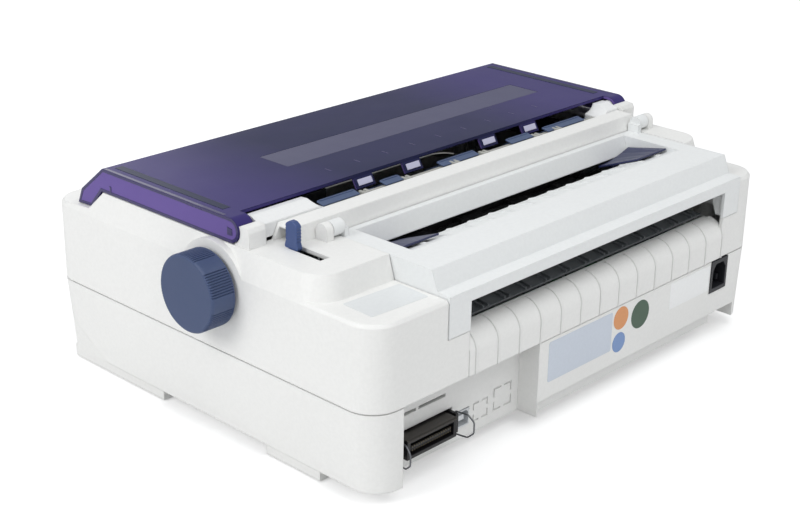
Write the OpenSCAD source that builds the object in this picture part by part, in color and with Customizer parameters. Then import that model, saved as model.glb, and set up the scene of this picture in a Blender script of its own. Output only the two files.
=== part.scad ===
// Desktop dot matrix printer: two-part moulded case, tinted lid, hinged rear
// paper guide, and the print mechanism on a steel frame inside.
// X runs across the printer, with the paper knob at +X. Y runs from front to rear.

/* [Case] */
// Width of the case
body_w = 390; // [384:1:398]
// Depth of the case, front wall to rear wall
body_d = 300; // [298:1:306]
// Height of the seam between the two case halves
parting_z = 60; // [59:0.5:62]
// Height of the rear corner shelves
shelf_z = 115; // [113:0.5:116]
// Height of the deck beside the paper guide
deck_z = 130; // [129:0.5:133]
// Thickness of the case walls
wall = 2.5; // [2.2:0.1:2.8]
// Radius of the upright case corners
corner_r = 19; // [16:1:22]
// Open seam between the case halves
seam = 0.8; // [0.5:0.1:1]
// Height of the case floor above the table
belly_z = 9; // [8:0.5:10]
// Draw-in of the lower case towards its floor
lower_draft = 3.5; // [2:0.5:4]
// Front lip height of the lower case
lip_z = 37; // [34:1:40]
// Rib spacing on the rear bulge
rib_pitch = 20.1; // [19:0.1:20.4]
// Number of ribs on the rear bulge
rib_count = 14; // [10:1:14]
// How far the rear ribs stand proud
rib_proud = 0.6; // [0.4:0.1:0.8]

/* [Lid] */
// Height of the lid top above the deck
lid_rise = 16.2; // [15.8:0.1:17]
// Thickness of the lid shell
lid_t = 2.2; // [1.8:0.1:2.4]
// Front edge of the lid behind the front wall
lid_front_y = 26; // [24:1:28]
// Depth of the frosted strip
strip_d = 27; // [22:1:30]
// Radius of the lid hinge pins
lid_pin_r = 1.8; // [1.5:0.1:2]

/* [Paper guide] */
// Off-centre shift of the paper path
paper_x = -17; // [-18:0.5:-16]
// Width of the rear paper slot
slot_w = 265; // [256:1:266]
// Height of the rear paper slot
slot_h = 21.3; // [18:0.1:22]
// Width of the rear guide cover beyond the slot at each end
guide_side = 18.7; // [17:0.1:20]
// Thickness of the rear guide cover
guide_t = 2.2; // [1.8:0.1:2.5]
// Radius of the rear guide hinge pins
guide_pin_r = 2; // [1.6:0.1:2.2]

/* [Platen and feed] */
// Platen axis behind the front wall
platen_y = 165; // [164:0.5:166]
// Platen axis height
platen_z = 101.5; // [101:0.5:103]
// Radius of the platen
platen_r = 15; // [14:0.5:15.5]
// Length of the platen sleeve
platen_len = 266; // [258:1:268]
// Radius of the platen shaft
shaft_r = 4; // [3.5:0.1:4.4]
// Radius of the knob face
knob_r = 24.5; // [22:0.5:25]
// Length of the knob outside the case
knob_len = 18; // [15:0.5:20]
// Gear tooth module
gear_m = 1; // [0.98:0.01:1.02]
// Thickness of the feed gears
gear_t = 5.5; // [4:0.5:6]

/* [Carriage] */
// Width of printing
print_w = 254; // [240:1:256]
// Width of the carriage
carriage_w = 40; // [36:1:42]
// Radius of the carriage rod
rod_r = 6; // [5:0.5:6.5]
// Thickness of the toothed belt
belt_t = 1.2; // [1:0.1:1.4]
// Resting place of the carriage, across
carriage_x = 80; // [40:1:90]

/* [Controls] */
// Travel of the release lever above the deck
lever_h = 19.5; // [16:0.5:22]
// Width of each panel button
button_w = 14; // [10:0.5:16]
// Spacing of the panel buttons
button_pitch = 25; // [22:1:27]

/* [Clearances] */
// Radial clearance of shafts in their bores
run = 0.06; // [0.03:0.01:0.09]
// Gap between covers that move past each other
gap = 0.5; // [0.4:0.05:0.7]
// Gap between seated pieces
seat = 0.1; // [0.05:0.01:0.15]

/* [Hidden] */
$fn = 48;

// Colours
shell_white = "#eceae6";
guide_white = "#e6e6e2";
lid_violet = "#453f72";
lid_frost = "#6d6a92";
exit_grey = "#b9b9b6";
knob_blue = "#525f82";
navy = "#232a50";
steel = "#b4b8bc";
dark_steel = "#5a5e62";
rubber_black = "#1d1d1f";
moulded_black = "#17181b";
board_green = "#1f5a38";
gear_white = "#e4e0d2";

// Case planes
side_x = body_w / 2;
rear_y = body_d;
upper_z = parting_z + seam;
deck_side_x = side_x - 5;
deck_rear_y = rear_y - 47;
deck_foot_y = deck_rear_y + 5;
crease_z = shelf_z - 2;
front_top_z = shelf_z + 2.2;
arm_x = side_x - 19;

// Rear guide planes
guide_x1 = paper_x + slot_w / 2 + guide_side;
guide_x0 = paper_x - slot_w / 2 - guide_side;
slot_x1 = paper_x + slot_w / 2;
slot_x0 = paper_x - slot_w / 2;
notch_x1 = guide_x1 + gap;
notch_x0 = guide_x0 - gap;
bulge_z = 88;
bulge_r = 13;
bulge_proud = 0.6;
slot_top_z = bulge_z + slot_h;
slot_floor_z = bulge_z + 0.6;
ear_z = bulge_z + 2.7;
crest_y = rear_y - 14;
band_y = rear_y - 9;
band_z = slot_top_z + 8;
guide_rear_y = rear_y + 0.5;
guide_top_z = deck_z - 0.5;
guide_front_y = rear_y - 94;
recess_y = guide_front_y + 4.5;
slot_y0 = recess_y + 4.8;
slot_y1 = slot_y0 + 14.5;
tray_y = rear_y - 42;
guide_pin_y = guide_front_y + 4.3;
guide_pin_z = deck_z + 5.5;
fin_h = 1.2;

// Bar across the top, between lid and guide
bar_y1 = guide_front_y - gap;
bar_y0 = bar_y1 - 17;
bar_top = deck_z + 10;
exit_x1 = paper_x + 136;
exit_x0 = paper_x - 136;

// Lid
lid_top = deck_z + lid_rise;
lid_x = side_x - 4.9;
hinge_r = 7.7;
lid_pin_y = bar_y0 - 11.5;
lid_pin_z = lid_top - hinge_r;
lid_foot_z = lid_pin_z - hinge_r;
lid_edge_y = lid_pin_y - 4.5;
lid_knee_y = lid_front_y + 4.4;
lid_knee_z = front_top_z + 10.2;
lid_brow_y = lid_front_y + 27.8;
ear_x = arm_x + 2;
post_r = hinge_r - lid_t - 0.4;
strip_x1 = paper_x + 119.5;
strip_x0 = paper_x - 134;
strip_y = (lid_brow_y + lid_edge_y) / 2 + 5;

// Steel frame
frame_t = 1.6;
frame_x1 = paper_x + print_w / 2 + carriage_w / 2 + 2;
frame_x0 = paper_x - print_w / 2 - carriage_w / 2 - 2;
pan_z = 42;
pan_top = pan_z + frame_t;
pan_y0 = 56;
pan_y1 = 250;
frame_top = 107.8;
frame_peak_z = deck_z + 0.6;

// Feed train in the plane outside the left frame
gear_x1 = frame_x0 - frame_t - 2.5;
gear_x0 = gear_x1 - gear_t;
platen_teeth = 40;
idler_teeth = 30;
pinion_teeth = 14;
tractor_teeth = 40;
idler_dir = -50;
pinion_dir = -150;
mesh_slack = 0.12;
idler_y = platen_y + pitch_r(platen_teeth + idler_teeth, idler_dir).x;
idler_z = platen_z + pitch_r(platen_teeth + idler_teeth, idler_dir).y;
pinion_y = idler_y + pitch_r(idler_teeth + pinion_teeth, pinion_dir).x;
pinion_z = idler_z + pitch_r(idler_teeth + pinion_teeth, pinion_dir).y;
motor_r = 17.5;
tractor_dir = 8.7;
tractor_y = idler_y + pitch_r(idler_teeth + tractor_teeth, tractor_dir).x;
tractor_z = idler_z + pitch_r(idler_teeth + tractor_teeth, tractor_dir).y;
platen_phase = 0;
idler_phase = mesh_phase(platen_teeth, platen_phase, idler_teeth, idler_dir);
pinion_phase = mesh_phase(idler_teeth, idler_phase, pinion_teeth, pinion_dir);
tractor_phase = mesh_phase(idler_teeth, idler_phase, tractor_teeth, tractor_dir);
guide_shaft_y = tractor_y + 15;
guide_shaft_z = tractor_z - 14;
guide_shaft_r = 3;
hex_r = 4.6;
wheel_r = 12.1;
pin_reach = 2;
hub_r = 6.5;
tractor_x = paper_x + print_w / 2 - 3;
flap_z = tractor_z + 14.6;
pinch_r = 5;
pinch_y = platen_y + (platen_r + pinch_r + 0.3) * cos(-30);
pinch_z = platen_z + (platen_r + pinch_r + 0.3) * sin(-30);

// Carriage and belt
rod_y = 112;
rod_z = 84;
carriage_top = rod_z + rod_r + 3.6;
belt_r = 6;
belt_w = 6;
belt_y = 98;
belt_z = 66;
pulley_x0 = frame_x0 + 8.6;
pulley_x1 = frame_x1 - 8.5;
rail_y = 140;
rail_z = 80;
ribbon_y = platen_y - platen_r - 0.9;
ribbon_z = platen_z - 6.5;
ribbon_h = 13;
cart_y0 = 52;
cart_y1 = 94;
cart_z0 = frame_top + seat;
cart_z1 = cart_z0 + 16;

// Release lever
lever_w = 6.2;
lever_x = side_x - 28.1;
lever_y = guide_front_y + 3;
lever_pivot_y = lever_y + 2;
lever_pivot_z = 85;
lever_pin_r = 3;
lever_top = deck_z + lever_h;

// Knob
knob_x = side_x + 2;
stem_r = 7;

// Control panel on the front wall
panel_x0 = 30;
panel_w = 4 * button_pitch + 20;
panel_z0 = 82;
panel_h = 24;
panel_t = 1;
button_h = 7;
button_z = panel_z0 + 8;
button_out = 1.5;
button_press = 1.2;
board_y = 9;
switch_x = -160;
switch_z = 92;
rocker_y = 6;

// Rear sockets
panel_y = rear_y - 15.6;
recess_x0 = 49;
recess_x1 = 170;
port_x0 = 111.5;
port_x1 = 165;
port_z0 = 17.5;
port_z1 = 33.6;
port_mid_z = (port_z0 + port_z1) / 2;
port_face_y = panel_y + 9;
bail_y = panel_y + 4;
bail_r = 0.55;
bail_reach = rear_y + 11 - bail_y;
bail_x0 = port_x0 + 1.5;
bail_x1 = port_x1 - 1.5;
bail_z0 = port_mid_z - 7.6;
bail_z1 = port_mid_z + 7.6;
usb_x0 = 95.4;
usb_x1 = 108.5;
usb_z0 = 16.5;
usb_z1 = 28.5;
inlet_x0 = -162.2;
inlet_x1 = -141.6;
inlet_z0 = 35.5;
board_z = 15.2;
board_t = 1.6;

// Screw posts that join the case halves
post_x = side_x - 13;
post_ys = [30, rear_y - 32];
post_seam_z = parting_z - 2;
screw_head_z = 46;

// Frame posts on the case floor
pan_posts = [[-150, 62], [116, 62], [-150, 188], [110, 188]];

// Whole width and depth, to set the origin under the middle
reach_x1 = knob_x + knob_len;
reach_y1 = bail_y + bail_reach + bail_r;
mid_x = (reach_x1 - side_x) / 2;
mid_y = (reach_y1 - button_out) / 2;

function pitch_r(teeth, dir) = gear_m * teeth / 2 * [cos(dir), sin(dir)];
// Turn of a gear that meshes with another whose own turn is known
function mesh_phase(n1, phase1, n2, dir) =
    let (lead = (dir - phase1) - floor((dir - phase1) / (360 / n1)) * 360 / n1)
    dir + 180 + lead * n1 / n2 - 180 / n2;
// Involute roll angle, in degrees, at radius r on base circle b
function roll(r, b) = r <= b ? 0 : sqrt(r * r / (b * b) - 1) * 180 / PI - acos(b / r);
function gear_points(n) =
    let (
        rp = gear_m * n / 2,
        rb = rp * cos(20),
        ro = rp + gear_m - mesh_slack,
        rr = rp - 1.25 * gear_m,
        half = 90 / n - mesh_slack / rp * 90 / PI,
        steps = [0, 0.35, 0.7, 1],
        radii = [for (s = steps) max(rb, rr) + (ro - max(rb, rr)) * s],
        side = [for (r = radii) [r, half + roll(rp, rb) - roll(r, rb)]]
    )
    [for (i = [0:n - 1]) let (a = 360 * i / n)
        each concat(
            [rr * [cos(a - side[0].y), sin(a - side[0].y)]],
            [for (p = side) p.x * [cos(a - p.y), sin(a - p.y)]],
            [for (k = [len(side) - 1:-1:0]) side[k].x * [cos(a + side[k].y), sin(a + side[k].y)]],
            [rr * [cos(a + side[0].y), sin(a + side[0].y)]]
        )];

// Puts the origin on the table under the middle of the whole printer
module place() translate([-mid_x, -mid_y, 0]) children();
module slab(x0, x1, y0, y1, z0, z1) translate([x0, y0, z0]) cube([x1 - x0, y1 - y0, z1 - z0]);
// Draws a (y, z) outline and runs it across from x0 to x1
module across(x0, x1) translate([x0, 0, 0]) rotate([90, 0, 90]) linear_extrude(x1 - x0) children();
// Draws an (x, z) outline and runs it back from y0 to y1
module back(y0, y1) translate([0, y1, 0]) rotate([90, 0, 0]) linear_extrude(y1 - y0) children();
module rod_x(x0, x1, y, z, r) translate([x0, y, z]) rotate([0, 90, 0]) cylinder(r = r, h = x1 - x0);
module rod_y(y0, y1, x, z, r) translate([x, y1, z]) rotate([90, 0, 0]) cylinder(r = r, h = y1 - y0);
module round_rect(x0, x1, y0, y1, r) {
    translate([x0 + r, y0]) square([x1 - x0 - 2 * r, y1 - y0]);
    translate([x0, y0 + r]) square([x1 - x0, y1 - y0 - 2 * r]);
    for (x = [x0 + r, x1 - r], y = [y0 + r, y1 - r]) translate([x, y]) circle(r);
}
module plate(x, y0, y1, z, h, r) translate([0, 0, z]) linear_extrude(h) round_rect(-x, x, y0, y1, r);
module both_sides() {
    children();
    mirror([1, 0, 0]) children();
}

// Lower case: drafted tub with a stepped front, a connector recess and moulded feet
module lower_cuts(t) {
    across(-side_x - 1, side_x + 1)
        polygon([[-5, -1], [-5, lip_z + t], [5 + t, lip_z + t], [belly_z + t, belly_z], [belly_z + t, -1]]);
    both_sides() across(side_x - 6.2 - t, side_x + 2)
        polygon([[-1, -1], [-1, lip_z + t], [5 + t, lip_z + t], [44.6 + t, belly_z + 1.8 + t],
            [44.6 + t, -1]]);
    slab(recess_x0 - t, recess_x1 + t, panel_y - t, rear_y + 2, -1, parting_z + 5);
    slab(-152 - t, recess_x0 - t - 1, rear_y - 5 - t, rear_y + 2, -1, 19 + t);
    slab(-175 - t, -152 + t, rear_y - 38 - t, rear_y + 2, -1, 19.5 + t);
}
module lower_form(t) {
    difference() {
        hull() {
            plate(side_x - t, t, rear_y - t, parting_z, 0.01 + t * 2, corner_r - t);
            plate(side_x - lower_draft - t, 1.5 + t, rear_y - t, belly_z + t, 0.01, corner_r - t);
        }
        lower_cuts(t);
    }
}
module knock_out(x0, x1, z0, z1) {
    for (z = [z0, z1 - 1], x = [x0, (x0 + x1) / 2 + 1.5])
        slab(x, x + (x1 - x0) / 2 - 1.5, panel_y - 0.8, panel_y + 1, z, z + 1);
    for (x = [x0, x1 - 1], z = [z0, (z0 + z1) / 2 + 1.5])
        slab(x, x + 1, panel_y - 0.8, panel_y + 1, z, z + (z1 - z0) / 2 - 1.5);
}
module foot(y0, y1) {
    difference() {
        slab(side_x - 31.2, side_x - 6.2, y0, y1, 0.6, belly_z + 0.5);
        translate([side_x - 18.7, (y0 + y1) / 2, -1]) cylinder(r = 7 + seat, h = 3.1);
    }
}
module lower_case() color(shell_white) place() difference() {
    union() {
        difference() {
            lower_form(0);
            lower_form(wall);
        }
        both_sides() {
            foot(belly_z + 0.2, 105);
            foot(204, 251);
            for (y = post_ys) translate([post_x, y, belly_z + 1]) cylinder(r = 5.5,
                h = post_seam_z - belly_z - 1);
        }
        for (p = pan_posts) translate([p.x, p.y, belly_z + 1]) cylinder(r = 5, h = pan_z - belly_z - 1);
        for (x = [25, 165], y = [panel_y - 80, panel_y - 8])
            translate([x, y, belly_z + 1]) cylinder(r = 3, h = board_z - belly_z - 1);
        for (x = [-168, -66], y = [202, 252])
            translate([x, y, belly_z + 1]) cylinder(r = 3, h = board_z - belly_z - 1);
    }
    both_sides() for (y = post_ys) translate([post_x, y, -1]) {
        cylinder(r = 1.9, h = 80);
        cylinder(r = 3.8, h = screw_head_z + 1);
    }
    slab(port_x0, port_x1, panel_y - 10, panel_y + 1, port_z0, port_z1);
    slab(usb_x0, usb_x1, panel_y - 10, panel_y + 1, usb_z0, usb_z1);
    slab(117.4, 141, panel_y - 10, panel_y + 1, 43, 45);
    slab(143, 162.8, panel_y - 10, panel_y + 1, 43, 45);
    knock_out(78, 92, 16, 28.7);
    knock_out(55.5, 72.7, 16.6, 32);
    slab(inlet_x0, inlet_x1, rear_y - 10, rear_y + 1, inlet_z0, parting_z + 1);
}
module rubber_feet() color(rubber_black) place() both_sides() for (y = [(belly_z + 105.2) / 2, 227.5])
    translate([side_x - 18.7, y, 0]) cylinder(r = 7, h = 2);

// Upper case: side arms, rear deck, bulge with ribs, bar, hinge posts and cut-outs
module deck_form(t) {
    difference() {
        hull() {
            plate(side_x - t, 1.5 + t, deck_foot_y - t, crease_z - t, 0.01, corner_r + 1 - t);
            plate(deck_side_x - t, 1.5 + t, deck_rear_y - t, deck_z - t, 0.01, corner_r - 2 - t);
        }
        across(-side_x - 1, side_x + 1)
            polygon([[-1, shelf_z - t], [1.5, shelf_z - t], [lid_front_y + 13, front_top_z - t],
                [lid_front_y + 15.5 + t, front_top_z - t], [lid_front_y + 27.5 + t, deck_z + 0.2 - t],
                [lid_front_y + 27.5 + t, deck_z + 9], [-1, deck_z + 9]]);
    }
}
module case_form(t) {
    hull() {
        plate(side_x - t, t, rear_y - t, upper_z - t * 2, crease_z - upper_z + t, corner_r - t);
        plate(side_x - 1.6 - t, 1.6 + t, rear_y - 1.6 - t, shelf_z - t, 0.01, corner_r - 1.6 - t);
    }
    deck_form(t);
}
module bulge_outline(proud) {
    translate([rear_y + bulge_proud - bulge_r, bulge_z - bulge_r]) intersection() {
        difference() {
            circle(bulge_r + proud);
            circle(bulge_r - wall);
        }
        square(bulge_r + proud);
    }
    translate([rear_y - wall + 0.1, upper_z]) square([wall + bulge_proud + proud - 0.1,
        bulge_z - bulge_r - upper_z]);
}
module bar() intersection() {
    across(-side_x, side_x) difference() {
        polygon([[bar_y0, deck_z - 1.5], [bar_y0, bar_top - 0.5], [bar_y0 + 1, bar_top], [bar_y1 - 2.2,
            bar_top],
            [bar_y1, deck_z + 1], [bar_y1, deck_z - 1.5]]);
        polygon([[bar_y0 + wall, deck_z - 3], [bar_y0 + wall, bar_top - wall], [bar_y1 - 4.4,
            bar_top - wall],
            [bar_y1 - wall, deck_z], [bar_y1 - wall, deck_z - 3]]);
    }
    back(bar_y0 - 1, bar_y1 + 1) polygon([[-178, deck_z - 2], [168, deck_z - 2], [168, deck_z], [162,
        bar_top + 1],
        [-172, bar_top + 1], [-178, deck_z]]);
}
module hinge_post() {
    rod_x(arm_x + 0.6, lid_x - lid_t - gap, lid_pin_y, lid_pin_z, post_r);
    slab(arm_x + 0.6, lid_x - lid_t - gap, lid_pin_y - post_r, lid_pin_y - 0.8, deck_z - 1, lid_pin_z);
}
module cheek() difference() {
    across(arm_x - 0.2, lid_x - 1) polygon([[lid_pin_y + 3, deck_z - 1], [lid_pin_y + 3, deck_z + 11],
        [lid_pin_y + 9, deck_z + 13], [bar_y0 + 3, deck_z + 12.5], [bar_y0 + 4.5, deck_z + 10],
            [bar_y0 + 4.5, deck_z - 1]]);
    rod_x(arm_x - 7, lid_x, lid_pin_y, lid_pin_z, hinge_r + 0.4);
}
module guide_bearing() difference() {
    union() {
        rod_x(guide_x1 + 8.4, guide_x1 + 14, guide_pin_y, guide_pin_z, 5);
        slab(guide_x1 + 8.4, guide_x1 + 14, guide_pin_y - 5, guide_pin_y + 5, deck_z - 1, guide_pin_z);
    }
    rod_x(guide_x1 + 7, guide_x1 + 12.5, guide_pin_y, guide_pin_z, guide_pin_r + run);
}
module upper_case() color(shell_white) place() difference() {
    union() {
        difference() {
            case_form(0);
            case_form(wall);
            slab(-arm_x, arm_x, lid_front_y + 14.5, bar_y0 - 0.2, shelf_z - 15, deck_z + 5);
            slab(notch_x0, notch_x1, guide_front_y - gap, rear_y + 2, ear_z - gap, deck_z + 5);
            slab(slot_x0 - 1.2, slot_x1, rear_y - 20, rear_y + 2, upper_z - 1, deck_z + 5);
        }
        across(slot_x0 - 1.2, slot_x1) bulge_outline(0);
        across(slot_x0 - 1.2, slot_x1) translate([rear_y - 15.5, bulge_z - wall]) square([4, wall]);
        for (i = [0:rib_count - 1]) across(slot_x1 - 5 - i * rib_pitch - 1.2, slot_x1 - 5 - i * rib_pitch)
            bulge_outline(rib_proud);
        slab(notch_x1, notch_x1 + 2.2, guide_front_y, rear_y - 1, ear_z, shelf_z - 1);
        slab(notch_x0 - 2.2, notch_x0, guide_front_y, rear_y - 1, ear_z, shelf_z - 1);
        slab(notch_x1, notch_x1 + 2.2, guide_front_y, deck_rear_y - 4, shelf_z - 2, deck_z - 1);
        slab(notch_x0 - 2.2, notch_x0, guide_front_y, deck_rear_y - 4, shelf_z - 2, deck_z - 1);
        bar();
        both_sides() {
            hinge_post();
            cheek();
            for (y = post_ys) translate([post_x, y, post_seam_z]) cylinder(r = 5.5,
                h = shelf_z - 1 - post_seam_z);
        }
        guide_bearing();
        translate([2 * paper_x, 0, 0]) mirror([1, 0, 0]) guide_bearing();
        rod_x(side_x - 6.5, side_x, platen_y, platen_z, 29);
        for (x = [panel_x0 - 1, panel_x0 + panel_w + 1], z = [panel_z0, panel_z0 + panel_h])
            rod_y(wall - 0.5, board_y, x, z, 3);
    }
    both_sides() {
        rod_x(arm_x - 1, lid_x - 1, lid_pin_y, lid_pin_z, lid_pin_r + run);
        for (y = post_ys) translate([post_x, y, post_seam_z - 1]) cylinder(r = 1.7, h = 20);
    }
    rod_x(side_x - 12, side_x + 2, platen_y, platen_z, stem_r + 1.2);
    rod_x(notch_x0 - 4, notch_x0 + 1, tractor_y, tractor_z, gear_m * tractor_teeth / 2 + 2);
    slab(lever_x - lever_w / 2 - 0.6, lever_x + lever_w / 2 + 0.6, bar_y1 + 0.2, lever_y + 24,
        deck_z - 9, deck_z + 2);
    slab(panel_x0, panel_x0 + panel_w, -2, panel_t, panel_z0, panel_z0 + panel_h);
    for (i = [0:3]) slab(button_x(i) - button_w / 2 - 0.3, button_x(i) + button_w / 2 + 0.3, -2, wall + 2,
        button_z - button_h / 2 - 0.3, button_z + button_h / 2 + 0.3);
    for (i = [0:3]) rod_y(-2, wall + 2, button_x(i), panel_z0 + panel_h - 6, 1.5);
    slab(switch_x - 9.6, switch_x + 9.6, -2, wall + 2, switch_z - 13.1, switch_z + 13.1);
}
function button_x(i) = panel_x0 + 10 + button_pitch * (i + 0.5);
module case_screws() color(steel) place() both_sides() for (y = post_ys) translate([post_x, y,
    screw_head_z - 2.4]) {
    difference() {
        cylinder(r = 3.3, h = 2.4);
        translate([0, 0, -1]) cylinder(r = 1.6, h = 2.2, $fn = 6);
    }
    cylinder(r = 1.6, h = 24);
}

// Front control panel with its board and four buttons
module control_panel() color(dark_steel) place() difference() {
    slab(panel_x0 + seat, panel_x0 + panel_w - seat, 0, panel_t, panel_z0 + seat,
        panel_z0 + panel_h - seat);
    for (i = [0:3]) {
        slab(button_x(i) - button_w / 2 - 0.3, button_x(i) + button_w / 2 + 0.3, -1, 2,
            button_z - button_h / 2 - 0.3, button_z + button_h / 2 + 0.3);
        rod_y(-1, 2, button_x(i), panel_z0 + panel_h - 6, 1.5);
    }
}
module panel_board() color(board_green) place() {
    slab(panel_x0 - 5, panel_x0 + panel_w + 5, board_y, board_y + board_t, panel_z0 - 4,
        panel_z0 + panel_h + 4);
    for (i = [0:3]) {
        slab(button_x(i) - 3, button_x(i) + 3, board_y - 1.2, board_y + 0.1, button_z - 3, button_z + 3);
        rod_y(0.4, board_y + 0.1, button_x(i), panel_z0 + panel_h - 6, 1.4);
    }
}
module panel_button(i) color(guide_white) place() {
    slab(button_x(i) - button_w / 2, button_x(i) + button_w / 2, -button_out, wall + 1,
        button_z - button_h / 2, button_z + button_h / 2);
    slab(button_x(i) - button_w / 2 - 1.5, button_x(i) + button_w / 2 + 1.5, wall + seat, wall + 1.5,
        button_z - button_h / 2 - 1.5, button_z + button_h / 2 + 1.5);
    slab(button_x(i) - 1.5, button_x(i) + 1.5, wall + 1, board_y - 1.2 - button_press - seat,
        button_z - 1.5, button_z + 1.5);
}
module pause_button() panel_button(0);
module feed_button() panel_button(1);
module load_button() panel_button(2);
module tear_button() panel_button(3);

module power_switch_body() color(moulded_black) place() difference() {
    union() {
        slab(switch_x - 11, switch_x + 11, -1.2, -seat, switch_z - 14.5, switch_z + 14.5);
        slab(switch_x - 9.5, switch_x + 9.5, -seat - 0.01, 17, switch_z - 13, switch_z + 13);
    }
    slab(switch_x - 7.2, switch_x + 7.2, -2, 14, switch_z - 10.5, switch_z + 10.5);
    rod_x(switch_x - 8.7, switch_x + 8.7, rocker_y, switch_z, 1.5 + run);
}
module power_rocker() color(rubber_black) place() {
    rod_x(switch_x - 8.5, switch_x + 8.5, rocker_y, switch_z, 1.5);
    translate([0, rocker_y, switch_z]) rotate([-8, 0, 0]) across(switch_x - 6.8,
        switch_x + 6.8) difference() {
        union() {
            circle(6.5);
            polygon([[0, -8.5], [-6.2, -8.5], [-5, 0], [-6.2, 8.5], [0, 8.5]]);
        }
        translate([-32, 0]) circle(26.6);
    }
}

// Lid: tinted shell that turns on two pins at its rear corners
module lid_side() polygon([[lid_front_y, front_top_z - 0.2], [lid_knee_y, lid_knee_z], [lid_brow_y,
    lid_top],
    [lid_pin_y, lid_top], [lid_pin_y, lid_foot_z], [lid_brow_y + 2, lid_foot_z],
    [lid_brow_y - 1.6, lid_foot_z], [lid_front_y + 14.6, front_top_z + 0.6]]);
module lid() color(lid_violet, 0.85) place() {
    difference() {
        across(-lid_x, lid_x) polygon([[lid_front_y, front_top_z - 0.2], [lid_knee_y, lid_knee_z],
            [lid_brow_y, lid_top], [lid_edge_y, lid_top], [lid_edge_y, lid_top - lid_t],
            [lid_brow_y + 0.8, lid_top - lid_t], [lid_knee_y + lid_t, lid_knee_z - 1],
                [lid_front_y + 2.4, front_top_z - 0.1]]);
        slab(strip_x0, strip_x1, strip_y - strip_d / 2, strip_y + strip_d / 2, lid_top - 0.5, lid_top + 1);
    }
    both_sides() {
        across(lid_x - lid_t, lid_x) {
            lid_side();
            translate([lid_pin_y, lid_pin_z]) circle(hinge_r);
        }
        across(ear_x, lid_x) difference() {
            union() {
                translate([lid_edge_y - 1, lid_top - lid_t]) square([lid_pin_y - lid_edge_y + 1, lid_t]);
                translate([lid_pin_y, lid_pin_z]) intersection() {
                    circle(hinge_r);
                    polygon([[0, 0], [0, 20], [20, 20], [20, -6]]);
                }
            }
            translate([lid_pin_y, lid_pin_z]) circle(hinge_r - lid_t);
        }
        rod_x(arm_x + 2, lid_x - 1, lid_pin_y, lid_pin_z, lid_pin_r);
    }
    for (i = [0:8]) slab(88 - i * 25.9, 89.2 - i * 25.9, lid_edge_y - 15, lid_edge_y - 5,
        lid_top - lid_t - 1.5, lid_top - lid_t + 0.1);
    for (x = [-88.8, -44.3, 31.7, 76.2]) across(x - 8.5, x + 8.5)
        polygon([[lid_edge_y - 1.5, lid_top - lid_t + 0.1], [lid_edge_y, lid_top - lid_t + 0.1],
            [lid_edge_y + 4.2, deck_z + 7.6], [lid_edge_y + 2.9, deck_z + 7.2]]);
}
module lid_strip() color(lid_frost) place()
    slab(strip_x0 + seat, strip_x1 - seat, strip_y - strip_d / 2 + seat, strip_y + strip_d / 2 - seat,
        lid_top - 0.5, lid_top - 0.05);

// Rear paper guide: framed cover over the slot, turning on two pins at its front corners
module guide_wall(x0, x1) across(x0, x1) polygon([[guide_front_y, guide_top_z], [crest_y, guide_top_z],
    [band_y, band_z], [guide_rear_y, band_z - 0.5], [guide_rear_y, ear_z], [rear_y - 8, ear_z],
    [crest_y, slot_top_z], [slot_y0 - 2, band_z], [guide_front_y, guide_top_z - 8]]);
module guide_boss() {
    rod_x(guide_x1 - 1.5, guide_x1 + 8, guide_pin_y, guide_pin_z, 5);
    slab(guide_x1 - 4, guide_x1 - 0.5, guide_front_y, guide_pin_y + 5, guide_top_z - 2, guide_pin_z);
    rod_x(guide_x1 + 7.9, guide_x1 + 12, guide_pin_y, guide_pin_z, guide_pin_r);
}
function tray_z(y) = band_z + 1 + (y - slot_y1) * (guide_top_z - band_z - 1) / (tray_y - slot_y1);
module fin(x) across(x, x + 1.4) polygon([[slot_y1 + 1, tray_z(slot_y1 + 1) - 1], [slot_y1 + 3,
    tray_z(slot_y1 + 3) + fin_h],
    [tray_y - 8, tray_z(tray_y - 8) + fin_h], [tray_y - 3, tray_z(tray_y - 3)], [tray_y - 3,
        tray_z(tray_y - 3) - 1]]);
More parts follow.
